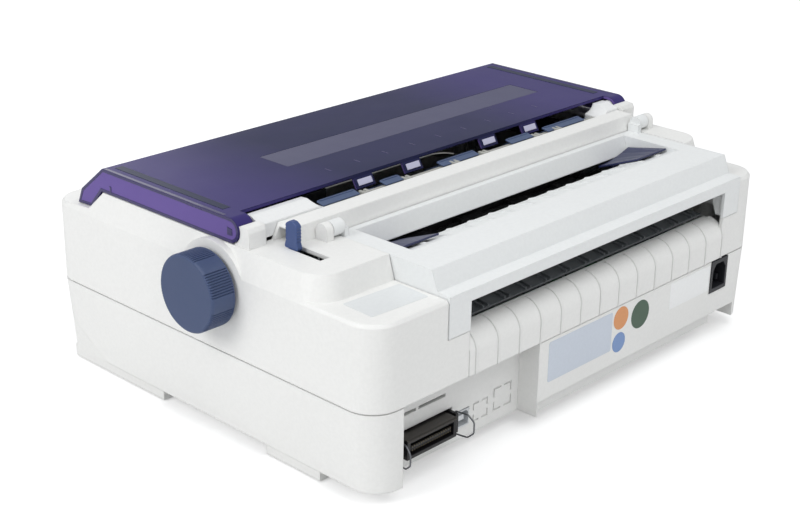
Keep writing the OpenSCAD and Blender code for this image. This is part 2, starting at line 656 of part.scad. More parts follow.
module rear_paper_guide() color(guide_white) place() intersection() {
    difference() {
        union() {
            across(guide_x0, guide_x1) {
                polygon([[guide_front_y, guide_top_z], [recess_y, guide_top_z], [slot_y0, band_z],
                    [slot_y0 - guide_t, band_z],
                    [recess_y - guide_t, guide_top_z - guide_t], [guide_front_y, guide_top_z - guide_t]]);
                polygon([[slot_y1, band_z + 1], [tray_y, guide_top_z], [crest_y, guide_top_z], [band_y,
                    band_z],
                    [guide_rear_y, band_z - 0.5], [guide_rear_y, slot_top_z], [guide_rear_y - guide_t,
                        slot_top_z],
                    [guide_rear_y - guide_t, band_z - 0.5 - guide_t], [band_y - 1.6, band_z - guide_t],
                    [crest_y - 1.6, guide_top_z - guide_t], [tray_y + 0.5, guide_top_z - guide_t],
                    [slot_y1 + 0.7, band_z + 1 - guide_t]]);
            }
            guide_wall(guide_x1 - guide_t, guide_x1);
            guide_wall(guide_x0, guide_x0 + guide_t);
            guide_wall(slot_x1 + 4.4, slot_x1 + 4.4 + guide_t);
            guide_wall(slot_x0 - 3.6 - guide_t, slot_x0 - 3.6);
            slab(slot_x1 + 4.4, guide_x1 - 1, recess_y - 1, tray_y + 2, guide_top_z - guide_t, guide_top_z);
            slab(guide_x0 + 1, slot_x0 - 3.6, recess_y - 1, tray_y + 2, guide_top_z - guide_t, guide_top_z);
            slab(slot_x1, guide_x1 - 0.5, guide_rear_y - guide_t, guide_rear_y, ear_z, band_z - 1);
            slab(guide_x0 + 0.5, slot_x0, guide_rear_y - guide_t, guide_rear_y, ear_z, band_z - 1);
            guide_boss();
            translate([2 * paper_x, 0, 0]) mirror([1, 0, 0]) guide_boss();
            for (i = [0:12]) fin(slot_x1 - 14 - i * rib_pitch);
        }
        slab(slot_x0 - 3.6, slot_x1 + 4.4, slot_y0 + 0.01, slot_y1 - 0.2, ear_z, deck_z + 9);
        slab(slot_x0, slot_x1, slot_y1 + 10, rear_y + 5, ear_z - 5, slot_top_z);
    }
    back(guide_front_y - 10, rear_y + 10) polygon([[guide_x0 - 20, ear_z - 5], [guide_x1 + 20, ear_z - 5],
        [guide_x1 + 20, guide_pin_z + 9], [guide_x0 - 20, guide_pin_z + 9]]);
}
// Sheet guides that slide along the slot: a wing over the ribs of the tray and a lip in the slot
module edge_guide(outer, inner) color(navy) place() {
    span = inner - outer;
    y0 = slot_y0 + gap;
    y1 = tray_y - 10;
    z1 = tray_z(y1) + fin_h + 0.6;
    for (i = [0:3]) hull() for (k = [i, i + 1])
        let (s = k / 4, z0 = tray_z(y0 + 4) + 6.4 * (1 - s) * (1 - s)) translate([outer + span * s -
            0.01, 0, 0])
            across(0, 0.02) polygon([[y0, z0], [y1, z1], [y1, z1 + 1.3], [y0, z0 + 1.3]]);
    slab(min(outer, outer + span * 0.6), max(outer, outer + span * 0.6), y0, y0 + 1.4, tray_z(y0) - 1.5,
        tray_z(y0 + 4) + 1.4);
    slab(min(outer, outer + span * 0.6), max(outer, outer + span * 0.6), y0, y0 + 2.4, tray_z(y0) - 2.5,
        tray_z(y0) - 1.4);
}
module edge_guide_right() edge_guide(slot_x1 + 3, slot_x1 - 29);
module edge_guide_left() edge_guide(slot_x0 - 2.5, slot_x0 + 32);

// Exit guide strip with its clips, and the deflector pads in front of it
module exit_guide() color(exit_grey) place() {
    across(exit_x0, exit_x1) polygon([[bar_y0 - 7.5, deck_z + 6], [bar_y0 - 7.5, deck_z + 7.2],
        [bar_y0 - 0.4, deck_z + 7.6],
        [bar_y0 - 0.4, deck_z + 6.2], [bar_y0 - 3, deck_z + 5.9], [bar_y0 - 3, deck_z - 4],
        [bar_y0 - 4.2, deck_z - 4], [bar_y0 - 4.2, deck_z + 5.8]]);
    slab(frame_x0 + seat, frame_x1 - seat, bar_y0 - 4.2, bar_y0 - 3, platen_z + platen_r + 3, deck_z);
    for (x = [86, 48, 2, -28, -84, -107]) difference() {
        slab(x - 3, x + 3, bar_y0 - 6.5, bar_y0 - 1, deck_z + 7, deck_z + 9.4);
        slab(x - 1, x + 1, bar_y0 - 8, bar_y0 - 3, deck_z + 7.8, deck_z + 10);
    }
}
module deflector_pads() color(knob_blue) place() {
    slab(frame_x0 + seat, frame_x1 - seat, bar_y0 - 20.5, bar_y0 - 12.5, deck_z - 4, deck_z - 0.5);
    for (p = [[72, 112], [44.9, 63.6], [-33, 12.5], [-94, -69], [-150, -104]]) {
        across(p[0], p[1]) polygon([[bar_y0 - 21, deck_z + 1.5], [bar_y0 - 10, deck_z + 6.4],
            [bar_y0 - 9.5, deck_z + 5.1],
            [bar_y0 - 20.5, deck_z + 0.2]]);
        slab(p[0] + 3, p[1] - 3, bar_y0 - 18.5, bar_y0 - 14.5, deck_z - 0.6, deck_z + 2.4);
    }
}
// Covers over the ends of the paper exit, each with a curved inner end
module end_cover(x_in, x_out) {
    s = x_out > x_in ? 1 : -1;
    intersection() {
        across(min(x_in - 1, x_out), max(x_in, x_out) + 1) polygon([[lid_edge_y + 1, deck_z + 2],
            [lid_edge_y + 1, deck_z + 13.5], [lid_edge_y + 6.5, deck_z + 14], [bar_y0 - 0.3,
                deck_z + 10.6], [bar_y0 - 0.3, deck_z + 2]]);
        back(lid_edge_y, bar_y0) difference() {
            polygon([[x_in, deck_z + 2], [x_in, deck_z + 7], [x_in + s * 10, deck_z + 14.5], [x_out,
                deck_z + 14.5], [x_out, deck_z + 2]]);
            translate([x_in + s * 1, deck_z + 16.5]) circle(8.6);
        }
    }
}
module end_housings() color(shell_white) place() {
    end_cover(exit_x1 + 2, arm_x - 0.5);
    end_cover(exit_x0 - 2, -arm_x + 0.5);
    slab(frame_x1 - 1, frame_x1 + 4, bar_y0 - 12, bar_y0 - 2, frame_peak_z + seat, deck_z + 2.1);
    slab(frame_x0 - 4, frame_x0 + 1, bar_y0 - 12, bar_y0 - 2, frame_peak_z + seat, deck_z + 2.1);
}

// Steel frame: a pan with folded ends and an upright rail for the carriage
module base_frame() color(steel) place() difference() {
    union() {
        slab(frame_x0, frame_x1, pan_y0, pan_y1, pan_z, pan_top);
        slab(frame_x0, frame_x1, pan_y0, pan_y0 + frame_t, pan_z, pan_z + 12);
        slab(frame_x0, frame_x1, rail_y, rail_y + frame_t, pan_z, rail_z);
        for (p = [0, 1]) slab(frame_x0 + p * (frame_x1 - frame_x0 - frame_t),
            frame_x0 + frame_t + p * (frame_x1 - frame_x0 - frame_t),
            pan_y0, pan_y1, pan_z, pan_z + 10);
        translate([pulley_x1, belt_y, pan_z]) cylinder(r = 2.5, h = belt_z + belt_w + 2.5 - pan_z);
    }
    // The folded left end leaves room for the feed motor
    rod_x(frame_x0 - 1, frame_x0 + frame_t + 1, pinion_y, pinion_z, motor_r + gap);
    for (p = pan_posts) translate([p.x, p.y, pan_z - 1]) cylinder(r = 1.8, h = 4);
    translate([pulley_x0, belt_y, pan_z - 1]) cylinder(r = 5, h = 4);
    for (x = [-120, -70, -20, 30, 80]) translate([x, 205, pan_z - 1]) linear_extrude(4) round_rect(-16,
        16, 0, 30, 5);
    for (x = [-110, -50, 10, 70]) back(rail_y - 1, rail_y + 3) translate([x, 52]) round_rect(-18, 18, 0,
        12, 4);
}
module frame_outline() difference() {
    polygon([[pan_y0 + 3, pan_top], [pan_y0 + 3, frame_top - 16], [cart_y0 + 10, frame_top], [rail_y - 4,
        frame_top],
        [platen_y - 18, platen_z + 17], [bar_y0 - 30, frame_peak_z], [bar_y0 - 1.5, frame_peak_z],
        [platen_y + 27, deck_z - 22], [pan_y1 - 3, deck_z - 30], [pan_y1 - 3, pan_top]]);
    translate([platen_y, platen_z]) circle(9 + 0.02);
    translate([rod_y, rod_z]) circle(rod_r + 0.02);
    translate([pinch_y, pinch_z]) circle(2.5 + run);
    translate([tractor_y, tractor_z]) circle(3.5 + run);
    translate([guide_shaft_y, guide_shaft_z]) circle(guide_shaft_r + 0.02);
}
module side_frame_right() color(steel) place() {
    difference() {
        across(frame_x1, frame_x1 + frame_t) frame_outline();
        rod_x(frame_x1 - 1, frame_x1 + 3, 85, 66, 8);
    }
    // Stud that carries the release lever
    rod_x(frame_x1 + frame_t - 0.01, lever_x + lever_w / 2 + 1.2, lever_pivot_y, lever_pivot_z,
        lever_pin_r);
    rod_x(frame_x1 + frame_t - 0.01, lever_x - lever_w / 2 - 0.6, lever_pivot_y, lever_pivot_z,
        lever_pin_r + 2);
}
module side_frame_left() color(steel) place() {
    difference() {
        across(frame_x0 - frame_t, frame_x0) frame_outline();
        rod_x(frame_x0 - 3, frame_x0 + 1, pinion_y, pinion_z, 6);
    }
    // Stud that carries the idler gear
    rod_x(gear_x0 - 2, frame_x0 - frame_t + 0.01, idler_y, idler_z, 3);
    rod_x(gear_x1 + 0.3, frame_x0 - frame_t + 0.01, idler_y, idler_z, 5);
}
module platen_bushes() color(moulded_black) place() for (x = [frame_x1 + frame_t / 2,
    frame_x0 - frame_t / 2]) difference() {
    union() {
        rod_x(x - frame_t / 2, x + frame_t / 2, platen_y, platen_z, 9);
        s = x > 0 ? -1 : 1;
        rod_x(min(x + s * frame_t / 2, x + s * (frame_t / 2 + 2)), max(x + s * frame_t / 2,
            x + s * (frame_t / 2 + 2)),
            platen_y, platen_z, 10.5);
    }
    rod_x(x - 10, x + 10, platen_y, platen_z, shaft_r + run);
}
module platen_shaft() color(steel) place() {
    rod_x(gear_x0 - 2.5, side_x - 9, platen_y, platen_z, shaft_r);
    difference() {
        rod_x(paper_x - platen_len / 2 - 0.8, paper_x + platen_len / 2 + 0.8, platen_y, platen_z,
            platen_r - 2.6);
        for (x = [paper_x - platen_len / 2 - 2, paper_x + platen_len / 2 - 4]) difference() {
            rod_x(x, x + 6, platen_y, platen_z, platen_r - 4.6);
            rod_x(x - 1, x + 7, platen_y, platen_z, shaft_r + 2.5);
        }
    }
}
module platen_sleeve() color(rubber_black) place() difference() {
    rod_x(paper_x - platen_len / 2, paper_x + platen_len / 2, platen_y, platen_z, platen_r);
    rod_x(paper_x - platen_len / 2 - 1, paper_x + platen_len / 2 + 1, platen_y, platen_z, platen_r - 2.55);
}
module gear(teeth, y, z, phase, bore, web) {
    rp = gear_m * teeth / 2;
    difference() {
        translate([0, y, z]) across(gear_x0, gear_x1) difference() {
            rotate(phase) polygon(gear_points(teeth));
            circle(bore);
        }
        if (web > 0) for (x = [gear_x0 - 1, gear_x1 - web]) difference() {
            rod_x(x, x + 1 + web, y, z, rp - 3.2);
            rod_x(x - 1, x + 2 + web, y, z, bore + 3);
        }
    }
}
module platen_gear() color(gear_white) place() gear(platen_teeth, platen_y, platen_z, platen_phase,
    shaft_r + 0.02, 1.6);
module idler_gear() color(gear_white) place() gear(idler_teeth, idler_y, idler_z, idler_phase, 3 + run,
    1.6);
module motor_pinion() color(steel) place() {
    gear(pinion_teeth, pinion_y, pinion_z, pinion_phase, 1.4, 0);
    rod_x(gear_x0 - 0.6, frame_x0 + 12, pinion_y, pinion_z, 1.5);
}
module tractor_gear() color(gear_white) place() gear(tractor_teeth, tractor_y, tractor_z, tractor_phase,
    3.5 + 0.02, 1.6);

// Knob with groups of grip grooves
module platen_knob() color(knob_blue) place() difference() {
    union() {
        rod_x(knob_x, knob_x + 1.6, platen_y, platen_z, knob_r + 1.4);
        rod_x(knob_x + 1.5, knob_x + knob_len - 1.39, platen_y, platen_z, knob_r);
        translate([knob_x + knob_len - 1.4, platen_y, platen_z]) rotate([0, 90, 0])
            cylinder(r1 = knob_r, r2 = knob_r - 1.4, h = 1.4);
        rod_x(side_x - 17, knob_x + 1, platen_y, platen_z, stem_r);
    }
    rod_x(side_x - 18, side_x - 8.9, platen_y, platen_z, shaft_r + 0.02);
    for (g = [0:3], i = [-4:4]) translate([0, platen_y, platen_z]) rotate([g * 90 + 45 + i * 7, 0, 0])
        translate([knob_x + 3.2, knob_r - 0.8, -0.75]) cube([knob_len, 3, 1.5]);
    translate([knob_x + knob_len - 0.6, platen_y, platen_z]) rotate([0, 90, 0]) difference() {
        cylinder(r = knob_r - 4, h = 2);
        translate([0, 0, -1]) cylinder(r = knob_r - 6.5, h = 4);
    }
}
module feed_motor() color(dark_steel) place() difference() {
    union() {
        rod_x(frame_x0 + 0.02, frame_x0 + 26, pinion_y, pinion_z, motor_r);
        rod_x(frame_x0 + 25.9, frame_x0 + 27.5, pinion_y, pinion_z, 8);
        rod_x(frame_x0 - frame_t, frame_x0 + 1, pinion_y, pinion_z, 5.9);
        slab(frame_x0 + 4, frame_x0 + 20, pinion_y - 8, pinion_y + 8,
            pinion_z - motor_r - 2, pinion_z - motor_r + 2.5);
    }
    rod_x(frame_x0 - 4, frame_x0 + 13, pinion_y, pinion_z, 1.5 + run);
}
module pinch_rollers() color(rubber_black) place() {
    rod_x(frame_x0 - frame_t - 0.6, frame_x1 + frame_t + 0.6, pinch_y, pinch_z, 2.5);
    for (i = [-2:2]) rod_x(paper_x + i * 52 - 11, paper_x + i * 52 + 11, pinch_y, pinch_z, pinch_r);
}

// Carriage, print head and belt drive
module carriage_rod() color(steel) place() rod_x(frame_x0 - frame_t - 1.5, frame_x1 + frame_t + 1.5,
    rod_y, rod_z, rod_r);
module carriage() color(moulded_black) place() {
    x0 = carriage_x - carriage_w / 2;
    x1 = carriage_x + carriage_w / 2;
    difference() {
        union() {
            slab(x0, x1, rod_y - 10, rail_y - 4, rod_z - 3, carriage_top);
            slab(x0, x1, rod_y - 26, rod_y - 9, rod_z - 1, carriage_top);
            rod_x(x0, x1, rod_y, rod_z, rod_r + 3.5);
            slab(carriage_x - 10, carriage_x + 10, rail_y - 5, rail_y + frame_t + 4, rail_z + 1,
                carriage_top);
            slab(carriage_x - 10, carriage_x + 10, rail_y - 4, rail_y - 0.5, rail_z - 5, rail_z + 2);
            slab(carriage_x - 10, carriage_x + 10, rail_y + frame_t + 0.5, rail_y + frame_t + 4,
                rail_z - 5, rail_z + 2);
            for (y = [belt_y - belt_r - 3.2, belt_y - belt_r + 0.9])
                slab(carriage_x - 4, carriage_x + 4, y, y + 2, belt_z - 0.5, rod_z);
        }
        rod_x(x0 - 1, x1 + 1, rod_y, rod_z, rod_r + run);
    }
}
module print_head() color(dark_steel) place() {
    base_z = carriage_top + 3;
    slab(carriage_x - 13, carriage_x + 13, rod_y - 16, rod_y + 22, carriage_top + 0.02, base_z);
    slab(carriage_x - 10, carriage_x + 10, rod_y - 13, rod_y + 16, base_z - 0.1, base_z + 22);
    for (i = [0:8]) slab(carriage_x - 13, carriage_x + 13, rod_y - 16 + i * 4, rod_y - 14.4 + i * 4,
        base_z - 0.1, base_z + 25.5);
    across(carriage_x - 5, carriage_x + 5) polygon([[rod_y + 15.9, base_z], [rod_y + 15.9, base_z + 18],
        [ribbon_y - 8, platen_z + 5], [ribbon_y - 1.2, platen_z + 4], [ribbon_y - 1.2, platen_z - 4.5],
            [rod_y + 22, base_z]]);
}
module carriage_motor() color(dark_steel) place() translate([pulley_x0, belt_y, 0]) difference() {
    union() {
        translate([0, 0, 20]) cylinder(r = 19, h = pan_z - 20.02);
        translate([0, 0, 18.4]) cylinder(r = 8, h = 1.7);
        translate([0, 0, pan_z - 1]) cylinder(r = 4.9, h = 2.6);
    }
    translate([0, 0, pan_z - 12]) cylinder(r = 2 + run, h = 16);
}
module pulley(x) translate([x, belt_y, 0]) difference() {
    union() {
        translate([0, 0, belt_z - 2]) cylinder(r = belt_r + 1.6, h = 1.4);
        translate([0, 0, belt_z - 1]) cylinder(r = belt_r - 0.35, h = belt_w + 1.6);
        translate([0, 0, belt_z + belt_w + 0.5]) cylinder(r = belt_r + 1.6, h = 1.2);
    }
    for (a = [0:3]) rotate(a * 90 + 45) translate([belt_r - 1, 0,
        belt_z + belt_w + 0.9]) cylinder(r = 0.9, h = 2);
}
module drive_pulley() color(steel) place() {
    pulley(pulley_x0);
    translate([pulley_x0, belt_y, pan_z - 11]) cylinder(r = 2, h = belt_z + belt_w + 13 - pan_z);
}
module idler_pulley() color(gear_white) place() difference() {
    pulley(pulley_x1);
    translate([pulley_x1, belt_y, belt_z - 5]) cylinder(r = 2.5 + run, h = belt_w + 10);
}
module belt_outline(r) {
    translate([pulley_x0, belt_y - r]) square([pulley_x1 - pulley_x0, 2 * r]);
    for (x = [pulley_x0, pulley_x1]) translate([x, belt_y]) circle(r);
}
module timing_belt() color(rubber_black) place() translate([0, 0,
    belt_z]) linear_extrude(belt_w) difference() {
    belt_outline(belt_r + belt_t / 2 + 0.3);
    belt_outline(belt_r - belt_t / 2 + 0.3);
}

// Ribbon cartridge across the front of the frame, with arms to the print line
module ribbon_cartridge() color(moulded_black) place() difference() {
    union() {
        slab(frame_x0 + 1, frame_x1 - 1, cart_y0, cart_y1, cart_z0, cart_z1);
        for (x = [frame_x0 + 1, frame_x1 - 8]) {
            slab(x, x + 7, cart_y1 - 1, ribbon_y - 6, cart_z0, cart_z1);
            across(x, x + 7) polygon([[ribbon_y - 12, cart_z0], [ribbon_y - 12, cart_z1], [ribbon_y - 4,
                cart_z1 - 4],
                [ribbon_y - 1, ribbon_z + ribbon_h], [ribbon_y - 1, ribbon_z], [ribbon_y - 6, ribbon_z]]);
        }
        slab(frame_x0 - 2, frame_x0 + 2, cart_y0 + 14, cart_y0 + 26, cart_z0, cart_z0 + 5);
        slab(frame_x1 - 2, frame_x1 + 2, cart_y0 + 14, cart_y0 + 26, cart_z0, cart_z0 + 5);
    }
    slab(frame_x0 + 3, frame_x1 - 3, cart_y0 + 2, cart_y1 - 2, cart_z0 + 2, cart_z1 - 1.6);
    translate([frame_x0 + 34, cart_y1 - 20, cart_z1 - 3]) cylinder(r = 3 + run, h = 5);
    slab(frame_x0 + 20, frame_x0 + 90, cart_y0 - 1, cart_y0 + 1, cart_z0 + 4, cart_z1 - 4);
}
module ribbon() color(moulded_black) place() slab(frame_x0 + 2, frame_x1 - 2, ribbon_y - 0.95,
    ribbon_y - 0.75,
    ribbon_z + 0.5, ribbon_z + ribbon_h - 0.5);
module ribbon_knob() color(knob_blue) place() translate([frame_x0 + 34, cart_y1 - 20, 0]) difference() {
    union() {
        translate([0, 0, cart_z0 + 6]) cylinder(r = 3, h = 12);
        translate([0, 0, cart_z0 + 4]) cylinder(r = 9, h = 8);
        translate([0, 0, cart_z1 + gap]) cylinder(r = 8.5, h = 5.5);
    }
    for (a = [0:7]) rotate(a * 45) translate([8.8, 0, cart_z1 + 1.5]) cylinder(r = 1, h = 6);
}

// Tractors that pull fan-fold paper, on a hexagon shaft
module tractor_drive_shaft() color(steel) place() {
    rod_x(gear_x0 - 1.5, frame_x1 + frame_t + 2, tractor_y, tractor_z, 3.5);
    translate([frame_x0 + 1.5, tractor_y, tractor_z]) rotate([0, 90, 0]) cylinder(r = hex_r,
        h = frame_x1 - frame_x0 - 3, $fn = 6);
}
module tractor_guide_shaft() color(steel) place()
    rod_x(frame_x0 - frame_t - 1.5, frame_x1 + frame_t + 1.5, guide_shaft_y, guide_shaft_z, guide_shaft_r);
module right_tractor() {
    difference() {
        union() {
            across(tractor_x, tractor_x + 5) polygon([[tractor_y - 17, tractor_z - 9], [tractor_y - 17,
                tractor_z + 11.8],
                [tractor_y + 17, tractor_z + 11.8], [tractor_y + 20, guide_shaft_z], [guide_shaft_y + 3,
                    guide_shaft_z - 5],
                [guide_shaft_y - 3, guide_shaft_z - 5]]);
            rod_x(tractor_x, tractor_x + 5, guide_shaft_y, guide_shaft_z, 5);
            for (y = [tractor_y - 17, tractor_y + 14.5]) slab(tractor_x - 9, tractor_x + 1, y, y + 2.5,
                tractor_z + 10.3, tractor_z + 11.8);
            for (y = [tractor_y - 13, tractor_y + 10.5]) {
                slab(tractor_x + 1, tractor_x + 8, y, y + 2.5, tractor_z + 5, flap_z + 0.5);
                rod_y(y, y + 2.5, tractor_x + 6, flap_z, 2);
            }
            slab(tractor_x + 4.9, tractor_x + 8, guide_shaft_y - 3, guide_shaft_y + 3, guide_shaft_z + 5,
                guide_shaft_z + 9);
        }
        rod_x(tractor_x - 1, tractor_x + 6, tractor_y, tractor_z, hub_r + run);
        rod_x(tractor_x - 1, tractor_x + 6, guide_shaft_y, guide_shaft_z, guide_shaft_r + run);
    }
    rod_y(tractor_y - 11, tractor_y + 11, tractor_x + 6, flap_z, 1);
}
module right_flap() difference() {
    union() {
        rod_y(tractor_y - 10.2, tractor_y + 10.2, tractor_x + 6, flap_z, 2);
        slab(tractor_x - 7, tractor_x + 6, tractor_y - 10.2, tractor_y + 10.2, flap_z - 0.75,
            flap_z + 0.75);
        slab(tractor_x - 8, tractor_x - 6.8, tractor_y - 10.2, tractor_y + 10.2, flap_z - 0.75, flap_z + 2);
    }
    rod_y(tractor_y - 12, tractor_y + 12, tractor_x + 6, flap_z, 1 + run);
    slab(tractor_x - 5.6, tractor_x - 0.8, tractor_y - 7.5, tractor_y + 7.5, flap_z - 2, flap_z + 1.5);
}
module right_wheel() difference() {
    union() {
        rod_x(tractor_x - 5.6, tractor_x - 0.5, tractor_y, tractor_z, wheel_r);
        rod_x(tractor_x - 0.6, tractor_x + 5.5, tractor_y, tractor_z, hub_r);
        for (i = [0:5]) translate([tractor_x - 3.2, tractor_y, tractor_z]) rotate([i * 60, 0, 0])
            translate([0, 0, wheel_r - 0.6]) cylinder(r1 = 1.9, r2 = 1.1, h = pin_reach + 0.6);
    }
    translate([tractor_x - 7, tractor_y, tractor_z]) rotate([0, 90, 0]) cylinder(r = hex_r + 0.1, h = 15,
        $fn = 6);
}
module left_side() translate([2 * paper_x, 0, 0]) mirror([1, 0, 0]) children();
module tractor_right() color(moulded_black) place() right_tractor();
module tractor_left() color(moulded_black) place() left_side() right_tractor();
module flap_right() color(moulded_black) place() right_flap();
module flap_left() color(moulded_black) place() left_side() right_flap();
module pin_wheel_right() color(gear_white) place() right_wheel();
module pin_wheel_left() color(gear_white) place() left_side() right_wheel();

// Chute that leads the paper in from the rear slot, standing on the pan
module chute_line(h) polygon([[rear_y - 16.2, slot_floor_z], [rear_y - 16.2, slot_floor_z + h],
    [tray_y + 4, slot_floor_z + 2.9 + h],
    [tray_y - 14, slot_floor_z + 4.4 + h], [tray_y - 14, slot_floor_z + 4.4], [tray_y + 4,
        slot_floor_z + 2.9]]);
module rear_chute() color(dark_steel) place() {
    across(slot_x0 + 1.5, slot_x1 - 1.5) chute_line(1.2);
    for (i = [0:12], d = [0, 4.5]) across(slot_x1 - 11 - d - i * rib_pitch,
        slot_x1 - 10 - d - i * rib_pitch) chute_line(3);
    for (x = [slot_x0 + 2, paper_x - 1.5, slot_x1 - 5])
        slab(x, x + 3, tray_y - 12, tray_y - 8.5, pan_top, slot_floor_z + 4.4);
}

// Lever that eases the paper, on a stud of the right side frame
module release_lever() color(navy) place() difference() {
    union() {
        rod_x(lever_x - lever_w / 2, lever_x + lever_w / 2, lever_pivot_y, lever_pivot_z, 6);
        across(lever_x - lever_w / 2, lever_x + lever_w / 2) polygon([[lever_pivot_y - 5,
            lever_pivot_z + 1],
            [lever_y - 3, deck_z - 14], [lever_y - 2.6, deck_z + 2], [lever_y - 3.4, lever_top - 6],
            [lever_y - 2.4, lever_top - 1], [lever_y - 1, lever_top], [lever_y + 1.6, lever_top],
            [lever_y + 3.4, lever_top - 2], [lever_y + 3, deck_z + 2], [lever_y + 3.6, deck_z - 14],
            [lever_pivot_y + 5, lever_pivot_z + 1]]);
    }
    rod_x(lever_x - lever_w, lever_x + lever_w, lever_pivot_y, lever_pivot_z, lever_pin_r + run);
}

// Boards on the case floor
module chip(x, y, w, d, h) translate([x, y, board_z + board_t - 0.01]) cube([w, d, h]);
module can(x, y, r, h) translate([x, y, board_z + board_t - 0.01]) cylinder(r = r, h = h);
module main_board() color(board_green) place() {
    slab(recess_x0 - 29, recess_x1 + 2, panel_y - 88, panel_y - wall - 0.5, board_z, board_z + board_t);
    chip(60, panel_y - 60, 26, 26, 3);
    chip(100, panel_y - 62, 34, 14, 4);
    chip(100, panel_y - 84, 34, 14, 4);
    chip(144, panel_y - 70, 20, 14, 3);
    chip(30, panel_y - 70, 12, 40, 6);
    can(52, panel_y - 16, 4, 12);
    can(40, panel_y - 16, 4, 12);
    can(76, panel_y - 22, 5, 16);
    chip(140, panel_y - 40, 26, 6, 9);
    chip(26, panel_y - 86, 40, 5, 9);
}
module power_supply() color(board_green) place() {
    slab(-176, -60, rear_y - 104, rear_y - 42, board_z, board_z + board_t);
    chip(-128, rear_y - 92, 32, 30, 22);
    chip(-160, rear_y - 98, 3, 44, 18);
    chip(-90, rear_y - 98, 3, 36, 20);
    can(-145, rear_y - 84, 8, 20);
    can(-145, rear_y - 60, 8, 20);
    can(-76, rear_y - 88, 5, 14);
    can(-76, rear_y - 74, 5, 14);
    chip(-118, rear_y - 54, 20, 9, 12);
}
module power_inlet() color(moulded_black) place() {
    difference() {
        slab(inlet_x0 + 0.2, inlet_x1 - 0.2, rear_y - 22, rear_y + 0.6, inlet_z0 + 0.5, parting_z - 0.4);
        back(rear_y - 16, rear_y + 1) polygon([[inlet_x0 + 2.4, inlet_z0 + 3.4], [inlet_x1 - 2.4,
            inlet_z0 + 3.4],
            [inlet_x1 - 2.4, parting_z - 7.4], [inlet_x1 - 6, parting_z - 3], [inlet_x0 + 6, parting_z - 3],
            [inlet_x0 + 2.4, parting_z - 7.4]]);
    }
    inlet_x = (inlet_x0 + inlet_x1) / 2;
    for (p = [[-5.5, 8], [5.5, 8], [0, 15]]) slab(inlet_x + p[0] - 1, inlet_x + p[0] + 1, rear_y - 17,
        rear_y - 4,
        inlet_z0 + p[1] - 2, inlet_z0 + p[1] + 2);
    for (s = [-1, 1]) slab(inlet_x + s * 11.6 - 1.6, inlet_x + s * 11.6 + 1.6, rear_y - 6, rear_y - 3,
        inlet_z0 + 6, parting_z - 6);
}
module parallel_connector() color(moulded_black) place() {
    difference() {
        union() {
            slab(port_x0 + 5.5, port_x1 - 5.5, panel_y - 16, port_face_y, board_z + 4.3, board_z + 16.8);
            slab(port_x0 + 9, port_x1 - 9, panel_y - 14, panel_y - 4, board_z + board_t, board_z + 5);
        }
        slab(port_x0 + 8, port_x1 - 8, port_face_y - 9, port_face_y + 1, board_z + 6.4, board_z + 14.7);
    }
    slab(port_x0 + 9.5, port_x1 - 9.5, port_face_y - 10, port_face_y - 1, port_mid_z - 1.6,
        port_mid_z + 1.6);
    for (x = [bail_x0, bail_x1]) difference() {
        union() {
            slab(x - 1.1, x + 1.1, panel_y - 6, bail_y + 1.8, bail_z0 + 1.2, bail_z1 - 1.2);
            s = x < (port_x0 + port_x1) / 2 ? 1 : -1;
            slab(min(x, x + s * 4.6), max(x, x + s * 4.6), panel_y - 6, panel_y - 3.5, bail_z0 + 1.2,
                bail_z1 - 1.2);
        }
        translate([x, bail_y, bail_z0]) cylinder(r = bail_r + run, h = 4);
        translate([x, bail_y, bail_z1 - 4]) cylinder(r = bail_r + run, h = 4);
    }
}
// Spring wire that holds the plug in the parallel socket
module bail(x) color(dark_steel) place() {
    for (z = [bail_z0, bail_z1]) rod_y(bail_y, bail_y + bail_reach, x, z, bail_r - 0.05);
    translate([x, bail_y + bail_reach, bail_z0 - bail_r]) cylinder(r = bail_r,
        h = bail_z1 - bail_z0 + 2 * bail_r);
    translate([x, bail_y, bail_z0 - bail_r]) cylinder(r = bail_r, h = bail_r + 3.8);
    translate([x, bail_y, bail_z1 - 3.8]) cylinder(r = bail_r, h = bail_r + 3.8);
}
module bail_right() bail(bail_x0);
module bail_left() bail(bail_x1);
module usb_socket() color(steel) place() {
    difference() {
        slab(usb_x0 + 0.5, usb_x1 - 0.5, panel_y - 14, panel_y + 0.5, board_z + board_t + 0.02,
            usb_z1 - 0.4);
        back(panel_y - 11, panel_y + 1) polygon([[usb_x0 + 1.3, usb_z0 + 1.2], [usb_x1 - 1.3, usb_z0 + 1.2],
            [usb_x1 - 1.3, usb_z1 - 3], [usb_x1 - 3.2, usb_z1 - 1.2], [usb_x0 + 3.2, usb_z1 - 1.2],
                [usb_x0 + 1.3, usb_z1 - 3]]);
    }
    slab(usb_x0 + 3.8, usb_x1 - 3.8, panel_y - 12, panel_y - 1, usb_z0 + 4.2, usb_z1 - 4.4);
}

lower_case();
upper_case();
rubber_feet();
case_screws();
control_panel();
panel_board();
pause_button();
feed_button();
load_button();
tear_button();
power_switch_body();
power_rocker();
lid();
lid_strip();
rear_paper_guide();
edge_guide_right();
edge_guide_left();
exit_guide();
deflector_pads();
end_housings();
base_frame();
side_frame_right();
side_frame_left();
platen_bushes();
platen_shaft();
platen_sleeve();
platen_gear();
platen_knob();
feed_motor();
motor_pinion();
idler_gear();
pinch_rollers();
carriage_rod();
carriage();
print_head();
carriage_motor();
drive_pulley();
idler_pulley();
timing_belt();
ribbon_cartridge();
ribbon();
ribbon_knob();
tractor_drive_shaft();
tractor_gear();
tractor_guide_shaft();
tractor_right();
tractor_left();
flap_right();
flap_left();
pin_wheel_right();
pin_wheel_left();
rear_chute();
release_lever();
main_board();
power_supply();
power_inlet();
parallel_connector();
bail_right();
bail_left();
usb_socket();
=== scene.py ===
import bpy
import bmesh
import math
from mathutils import Matrix, Vector


